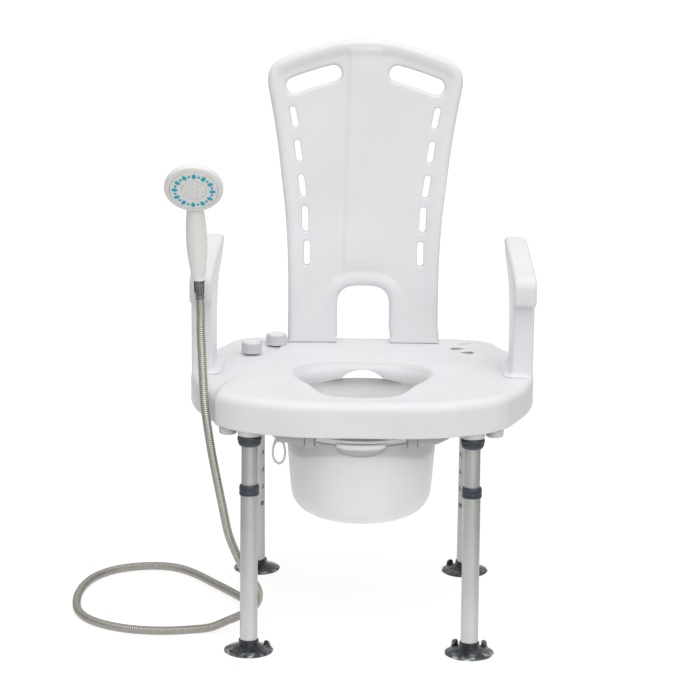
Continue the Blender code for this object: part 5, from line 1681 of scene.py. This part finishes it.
# ------------------------------------------------------------------ knobs
def make_knob(at):
    shape = Shape()

    def flutes(a, r, z):
        if r > 0.0163 and 0.0020 < z < 0.0162:
            return r - 0.00085 * (0.5 - 0.5 * math.cos(30 * a)) ** 0.8
        return r
    rows = soft([(0.0, 0.0024), (0.0128, 0.0024), (0.0128, 0.0008), (0.0162, 0.0008), (0.0170, 0.0016)], 0.0004)
    rows += [Vector((0.0170, z)) for z in (0.0026, 0.0070, 0.0115, 0.0155)]
    rows += soft([(0.0170, 0.0160), (0.0165, 0.0173), (0.0154, 0.0180), (0.0143, 0.0180), (0.0143, 0.0165), (0.0, 0.0165)], 0.0008)
    shape.turn(rows, 240, at, radius=flutes)
    return shape.mesh("knob", angle=50)


def make_knob_cap(at):
    shape = Shape()
    rows = soft([(0.0, 0.0168), (0.0140, 0.0168), (0.0140, 0.0182), (0.0131, 0.0192), (0.0098, 0.0192), (0.0092, 0.0187), (0.0, 0.0189)],
                0.0008)
    shape.turn(rows, 64, at)
    return shape.mesh("knob_cap", angle=50)


def make_bush(at):
    shape = Shape()
    rows = soft([(0.0, -0.0160), (0.0096, -0.0160), (0.0100, -0.0152), (0.0100, -0.0048), (0.0060, -0.0048), (0.0060, 0.0006),
                 (0.0118, 0.0006), (0.0120, 0.0012), (0.0116, 0.0020), (0.0, 0.0020)], 0.0004)

    def hexed(a, r, z):
        if r > 0.0090 and z < -0.0040:
            b = (a % (math.pi / 3)) - math.pi / 6
            return min(r, 0.0088 / math.cos(b))
        return r
    shape.turn(rows, 60, at, radius=hexed)
    return shape.mesh("bush", angle=35)


for name, (kx, ky) in (("front", (-0.185, 0.110)), ("rear", (-0.146, 0.172))):
    at = Matrix.Translation((kx, ky, SEAT_TOP_MID - SEAT_FALL * ky))
    piece("turn_knob_" + name, make_knob(at), "knob_" + name, KNOB, ["control_knob_" + name])
    piece("turn_knob_top_" + name, make_knob_cap(at), "knob_" + name, KNOB_TOP, ["knob_cap_" + name])
    piece("bush_" + name, make_bush(at), "root", RAIL, ["knob_bush_" + name])


# ------------------------------------------------------------------ hand shower
GRIP = [(0.0, 0.0), (0.0098, 0.0), (0.0104, 0.0012), (0.0112, 0.010), (0.0126, 0.020), (0.0142, 0.034),
        (0.0156, 0.050), (0.0161, 0.066), (0.0158, 0.084), (0.0146, 0.100), (0.0134, 0.114),
        (0.0138, 0.126), (0.0150, 0.136), (0.0140, 0.1420), (0.0, 0.1440)]
grip_at = axis_matrix(GRIP_LOW, GRIP_TOP - GRIP_LOW)
face_dir = Vector((0.0, -math.cos(HEAD_DIP), -math.sin(HEAD_DIP)))
head_at = axis_matrix(HEAD, face_dir) @ Matrix.Diagonal((0.972, 0.972, 0.972, 1.0))


def make_handset():
    """Grip and head in one flowing form, then a crisp rim round the spray face."""
    solid = Shape()
    inner = smooth_path([(r, z, 0.0) for r, z in GRIP[1:-1]], 4)
    # the grip is a little fuller than round in the middle and leans over to one side
    full = [(p.x * (1 + 0.055 * smoothstep(0.0, 0.02, p.y) * (1 - smoothstep(0.120, 0.140, p.y))), p.y) for p in inner]
    lean = grip_at.copy()
    lean.translation = lean.translation + Vector((-0.0008, 0.0, 0.0))
    solid.turn([(0.0, 0.0)] + full + [(0.0, 0.1440)], 64, lean)
    first = solid.mesh("grip_form", angle=None)
    dome = Shape()
    curve = smooth_path([(0.0, -0.0250, 0), (0.0100, -0.0248, 0), (0.0200, -0.0237, 0), (0.0330, -0.0188, 0), (0.0430, -0.0118, 0),
                         (0.0468, -0.0070, 0), (0.0478, -0.0030, 0)], 5)
    dome.turn([(p.x, p.y) for p in curve] + [(0.0478, -0.0012), (0.0, -0.0012)], 96, head_at)
    second = dome.mesh("dome_form", angle=None)
    # a web that fills the hollow between the grip and the underside of the head
    neck = Shape()
    rows = []
    a, b = Vector((-0.2665, -0.0862, 0.6950)), Vector((-0.2670, -0.1060, 0.7270))
    for k in range(7):
        t = k / 6
        c = a.lerp(b, t) + Vector((0.0, 0.0030 * math.sin(math.pi * t), 0.0))
        r = lerp(0.0128, 0.0165, t)
        d = (b - a).normalized()
        mm = axis_matrix(c, d)
        rows.append([mm @ Vector((r * math.cos(q), r * math.sin(q), 0)) for q in [2 * math.pi * i / 40 for i in range(40)]])
    neck.loft(rows)
    third = neck.mesh("neck_form", angle=None)
    joined = bmesh.new()
    for part in (first, second, third):
        joined.from_mesh(part)
    mesh = bpy.data.meshes.new("handset_form")
    joined.to_mesh(mesh)
    joined.free()
    temp = bpy.data.objects.new("handset_form", mesh)
    SCENE.collection.objects.link(temp)
    mod = temp.modifiers.new("skin", "REMESH")
    mod.mode = "VOXEL"
    mod.voxel_size = 0.0011
    bpy.context.view_layer.update()
    graph = bpy.context.evaluated_depsgraph_get()
    skin = bpy.data.meshes.new_from_object(temp.evaluated_get(graph))
    bpy.data.objects.remove(temp, do_unlink=True)
    bm = bmesh.new()
    bm.from_mesh(skin)
    plane = Matrix.Translation(SHIFT) @ head_at
    front = plane.inverted()
    for _ in range(7):
        free = []
        for v in bm.verts:
            q = front @ v.co
            if q.z < -0.0022 or math.hypot(q.x, q.y) > 0.0464:
                free.append(v)
        bmesh.ops.smooth_vert(bm, verts=free, factor=0.5, use_axis_x=True, use_axis_y=True, use_axis_z=True)
    for v in bm.verts:
        q = front @ v.co
        if q.z > -0.0040 and math.hypot(q.x, q.y) < 0.0464:
            v.co = plane @ Vector((q.x, q.y, min(q.z, -0.0012)))
    # rim of the head, with the pocket for the spray face
    rim = Shape()
    rows = soft([(0.0440, -0.0034), (0.0476, -0.0040), (0.0480, -0.0028), (0.0477, -0.0024), (0.0480, -0.0018), (0.0480, 0.0010),
                 (0.0470, 0.0035), (0.0430, 0.0052), (0.0402, 0.0054), (0.0397, 0.0050), (0.0397, -0.0010), (0.0440, -0.0016)],
                0.0009, closed=True)
    rim.turn(rows, 128, head_at, loop=True)
    # soft collar at the lower end of the grip
    collar = soft([(0.0092, 0.0002), (0.0106, 0.0002), (0.0111, 0.0012), (0.0110, 0.0030), (0.0092, 0.0036)], 0.0006, closed=True)
    rim.turn(collar, 64, grip_at, loop=True)
    rim_mesh = rim.mesh("rim", angle=40)
    bm.from_mesh(rim_mesh)
    out = bpy.data.meshes.new("handset")
    bm.to_mesh(out)
    bm.free()
    out.shade_smooth()
    out.set_sharp_from_angle(angle=math.radians(48))
    for old in (first, second, third, mesh, skin, rim_mesh):
        bpy.data.meshes.remove(old)
    return out


piece("shower_body", make_handset(), "handset", SHOWER, ["handset_body"])
NOZZLE_R = 0.0305


def make_spray_face():
    shape = Shape()

    rows = soft([(0.0, -0.0004), (0.0388, -0.0004), (0.0394, 0.0004), (0.0394, 0.0046), (0.0386, 0.0058), (0.0366, 0.0062),
                 (0.0356, 0.0058), (0.0348, 0.0056), (0.0268, 0.0060), (0.0236, 0.0064), (0.0206, 0.0066), (0.0201, 0.0060),
                 (0.0200, 0.0048), (0.0, 0.0048)], 0.0008)
    shape.turn(rows, 128, head_at)
    # low petals between the hub and the nozzles
    for k in range(12):
        a = math.radians(30 * k + 15)
        c = Vector((0.0236 * math.cos(a), 0.0236 * math.sin(a), 0.0062))
        petal(shape, c, a, 0.0026, 0.0018, 0.0010)
    return shape.mesh("spray_face", angle=40)


def petal(shape, centre, angle, long_r, wide_r, rise, steps=20, power=1.0):
    """A low rounded bump on the spray face, longer along its angle."""
    rows = []
    for f, h in ((1.0, -0.0008), (1.0, 0.0), (0.94, 0.45), (0.80, 0.78), (0.55, 0.95), (0.25, 1.0)):
        ring = []
        for i in range(steps):
            q = 2 * math.pi * i / steps
            cx, cy = math.cos(q), math.sin(q)
            x = long_r * f * math.copysign(abs(cx) ** power, cx)
            y = wide_r * f * math.copysign(abs(cy) ** power, cy)
            z = rise * h if h >= 0 else h
            ring.append(head_at @ Vector((centre.x + x * math.cos(angle) - y * math.sin(angle),
                                          centre.y + x * math.sin(angle) + y * math.cos(angle), centre.z + z)))
        rows.append(ring)
    shape.loft(rows)


def make_nozzles():
    shape = Shape()
    for k in range(12):
        a = math.radians(90 + 30 * k - 3)
        c = Vector((NOZZLE_R * math.cos(a), NOZZLE_R * math.sin(a), 0.0058))
        petal(shape, c, a, 0.0057, 0.0038, 0.0016, 24, 1.55)
        petal(shape, c + Vector((0, 0, 0.0014)), a, 0.0010, 0.0010, 0.0009, 12)
        b = a + math.radians(15)
        d = Vector((NOZZLE_R * math.cos(b), NOZZLE_R * math.sin(b), 0.0058))
        petal(shape, d, b, 0.0022, 0.0022, 0.0012, 18)
    return shape.mesh("nozzles", angle=55)


def make_hub():
    shape = Shape()

    def lobes(a, r, z):
        if 0.0125 < r < 0.0190:
            return r * (1 - 0.045 * (0.5 + 0.5 * math.cos(12 * a)))
        return r
    rows = soft([(0.0, 0.0051), (0.0198, 0.0051), (0.0198, 0.0060), (0.0186, 0.0068), (0.0170, 0.0068), (0.0158, 0.0062),
                 (0.0130, 0.0062), (0.0118, 0.0072), (0.0100, 0.0075), (0.0068, 0.0075), (0.0058, 0.0068), (0.0034, 0.0068),
                 (0.0026, 0.0078), (0.0, 0.0080)], 0.0008)
    shape.turn(rows, 120, head_at, radius=lobes)
    for k in range(12):
        a = math.radians(30 * k)
        c = Vector((0.0144 * math.cos(a), 0.0144 * math.sin(a), 0.0061))
        petal(shape, c, a, 0.0022, 0.0012, 0.0010)
    for k in range(6):
        a = math.radians(60 * k + 30)
        c = Vector((0.0084 * math.cos(a), 0.0084 * math.sin(a), 0.0074))
        petal(shape, c, a, 0.0014, 0.0010, 0.0007)
    return shape.mesh("hub", angle=40)


piece("spray_disc", make_spray_face(), "spray_plate", FACE, ["spray_face"])
piece("nozzle_set", make_nozzles(), "spray_plate", TEAL, ["nozzle_ring"])
piece("spray_middle", make_hub(), "spray_plate", FACE, ["spray_hub"])


def make_connector():
    shape = Shape()
    rows = soft([(0.0, -0.0300), (0.0068, -0.0300), (0.0073, -0.0290), (0.0073, -0.0268), (0.0068, -0.0262), (0.0070, -0.0240),
                 (0.0082, -0.0075), (0.0084, -0.0062), (0.0087, -0.0056), (0.0087, -0.0012), (0.0084, -0.0003), (0.0, -0.0003)], 0.0006)
    shape.turn(rows, 64, grip_at)
    return shape.mesh("connector", angle=40)


piece("hose_cone", make_connector(), "handset", CHROME, ["hose_connector"])


def make_clip():
    shape = Shape()
    ring_in, ring_out, lap = 0.0090, 0.0112, math.radians(118)
    outline = []
    for i in range(41):
        a = math.pi / 2 - lap + 2 * lap * i / 40
        outline.append(Vector((ring_out * math.cos(a), ring_out * math.sin(a))))
    for i in range(41):
        a = math.pi / 2 + lap - 2 * lap * i / 40
        outline.append(Vector((ring_in * math.cos(a), ring_in * math.sin(a))))
    loop = even(soft(outline, 0.0007, True, 2), 0.0009, closed=True)
    m = axis_matrix(GRIP_LOW + Vector((0, 0, -0.0225)), (0, 0, 1))
    slab(shape, loop, 0.020, lambda u, v, w: m @ Vector((u, v, 0.020 + w)), 0.0006, 0.0006, spacing=0.0014)
    neck = even(soft([(-0.2655, 0.5590), (-0.2565, 0.5590), (-0.2565, 0.5750), (-0.2655, 0.5750)], 0.0016, True), 0.0012, closed=True)
    slab(shape, neck, 0.0140, lambda u, v, w: (u, -0.0745 - w, v), 0.0004, 0.0004, spacing=0.003)
    return shape.mesh("clip", angle=40)


piece("holder_clip", make_clip(), "arm_left", CLIP, ["handset_clip"])

# ------------------------------------------------------------------ floor and light
SIDE_FLOOR, FRONT_FLOOR = 0.15, 0.35
floor_mesh = bpy.data.meshes.new("floor")
floor_mesh.from_pydata([(-60, -60, 0), (60, -60, 0), (60, 60, 0), (-60, 60, 0)], [], [(0, 1, 2, 3)])
floor = bpy.data.objects.new("floor", floor_mesh)
SCENE.collection.objects.link(floor)
mat, tree, shader, where = grow("floor_paint")
spot = where.outputs["Object"]
tone = noise(tree, spot, 1.5, 2.0)
tree.links.new(ramp(tree, tone, [(0.3, (0.245, 0.245, 0.245)), (0.7, (0.255, 0.255, 0.255))]), shader.inputs["Base Color"])
shader.inputs["Roughness"].default_value = 0.8
shader.inputs["Specular IOR Level"].default_value = 0.0
shader.inputs["Emission Color"].default_value = (1.0, 1.0, 1.0, 1.0)


# the sweep glows as painted light where the chair stands and falls off to the sides and towards the front
axes = tree.nodes.new("ShaderNodeSeparateXYZ")
tree.links.new(spot, axes.inputs[0])
across = maths(tree, "ABSOLUTE", axes.outputs[0], 0.0)
reach = maths(tree, "ADD", maths(tree, "MULTIPLY", axes.outputs[1], 0.118), 0.610)
side_fall = spread(tree, maths(tree, "SUBTRACT", across, reach), 1.0, SIDE_FLOOR, 0.0, 0.14)
front_fall = spread(tree, axes.outputs[1], FRONT_FLOOR, 1.0, -1.05, -0.50)
glow = maths(tree, "MULTIPLY", maths(tree, "MULTIPLY", side_fall, front_fall), 0.80)
tree.links.new(glow, shader.inputs["Emission Strength"])
floor_mesh.materials.append(mat)

world = bpy.data.worlds.new("studio")
SCENE.world = world
world.use_nodes = True
sky = world.node_tree
backdrop = sky.nodes["Background"]
backdrop.inputs[0].default_value = (1.0, 1.0, 1.0, 1.0)
direction = sky.nodes.new("ShaderNodeTexCoord")
parts = sky.nodes.new("ShaderNodeSeparateXYZ")
sky.links.new(direction.outputs["Generated"], parts.inputs[0])
# brighter overhead and towards the front, darker to the two sides
overhead = spread(sky, parts.outputs[2], 0.77, 1.07, 0.0, 0.9)
aside = maths(sky, "MULTIPLY", parts.outputs[0], parts.outputs[0])
aside = maths(sky, "SUBTRACT", maths(sky, "ADD", maths(sky, "MULTIPLY", parts.outputs[0], 0.03), 1.0), maths(sky, "MULTIPLY", aside, 0.40))
ahead = spread(sky, parts.outputs[1], 1.12, 0.86, -1.0, 1.0)
sky.links.new(maths(sky, "MULTIPLY", maths(sky, "MULTIPLY", overhead, aside), ahead), backdrop.inputs[1])


def sun(name, strength, angle, direction, colour=(1, 1, 1)):
    data = bpy.data.lights.new(name, "SUN")
    data.energy = strength
    data.angle = math.radians(angle)
    data.color = colour
    obj = bpy.data.objects.new(name, data)
    obj.rotation_mode = "QUATERNION"
    obj.rotation_quaternion = Vector(direction).to_track_quat("-Z", "Y")
    SCENE.collection.objects.link(obj)


sun("top_light", 0.75, 50, (-0.10, 0.35, -1.0))
sun("front_light", 0.42, 60, (-0.42, 1.0, -0.45))
SCENE.view_settings.view_transform = "Standard"
SCENE.view_settings.look = "None"
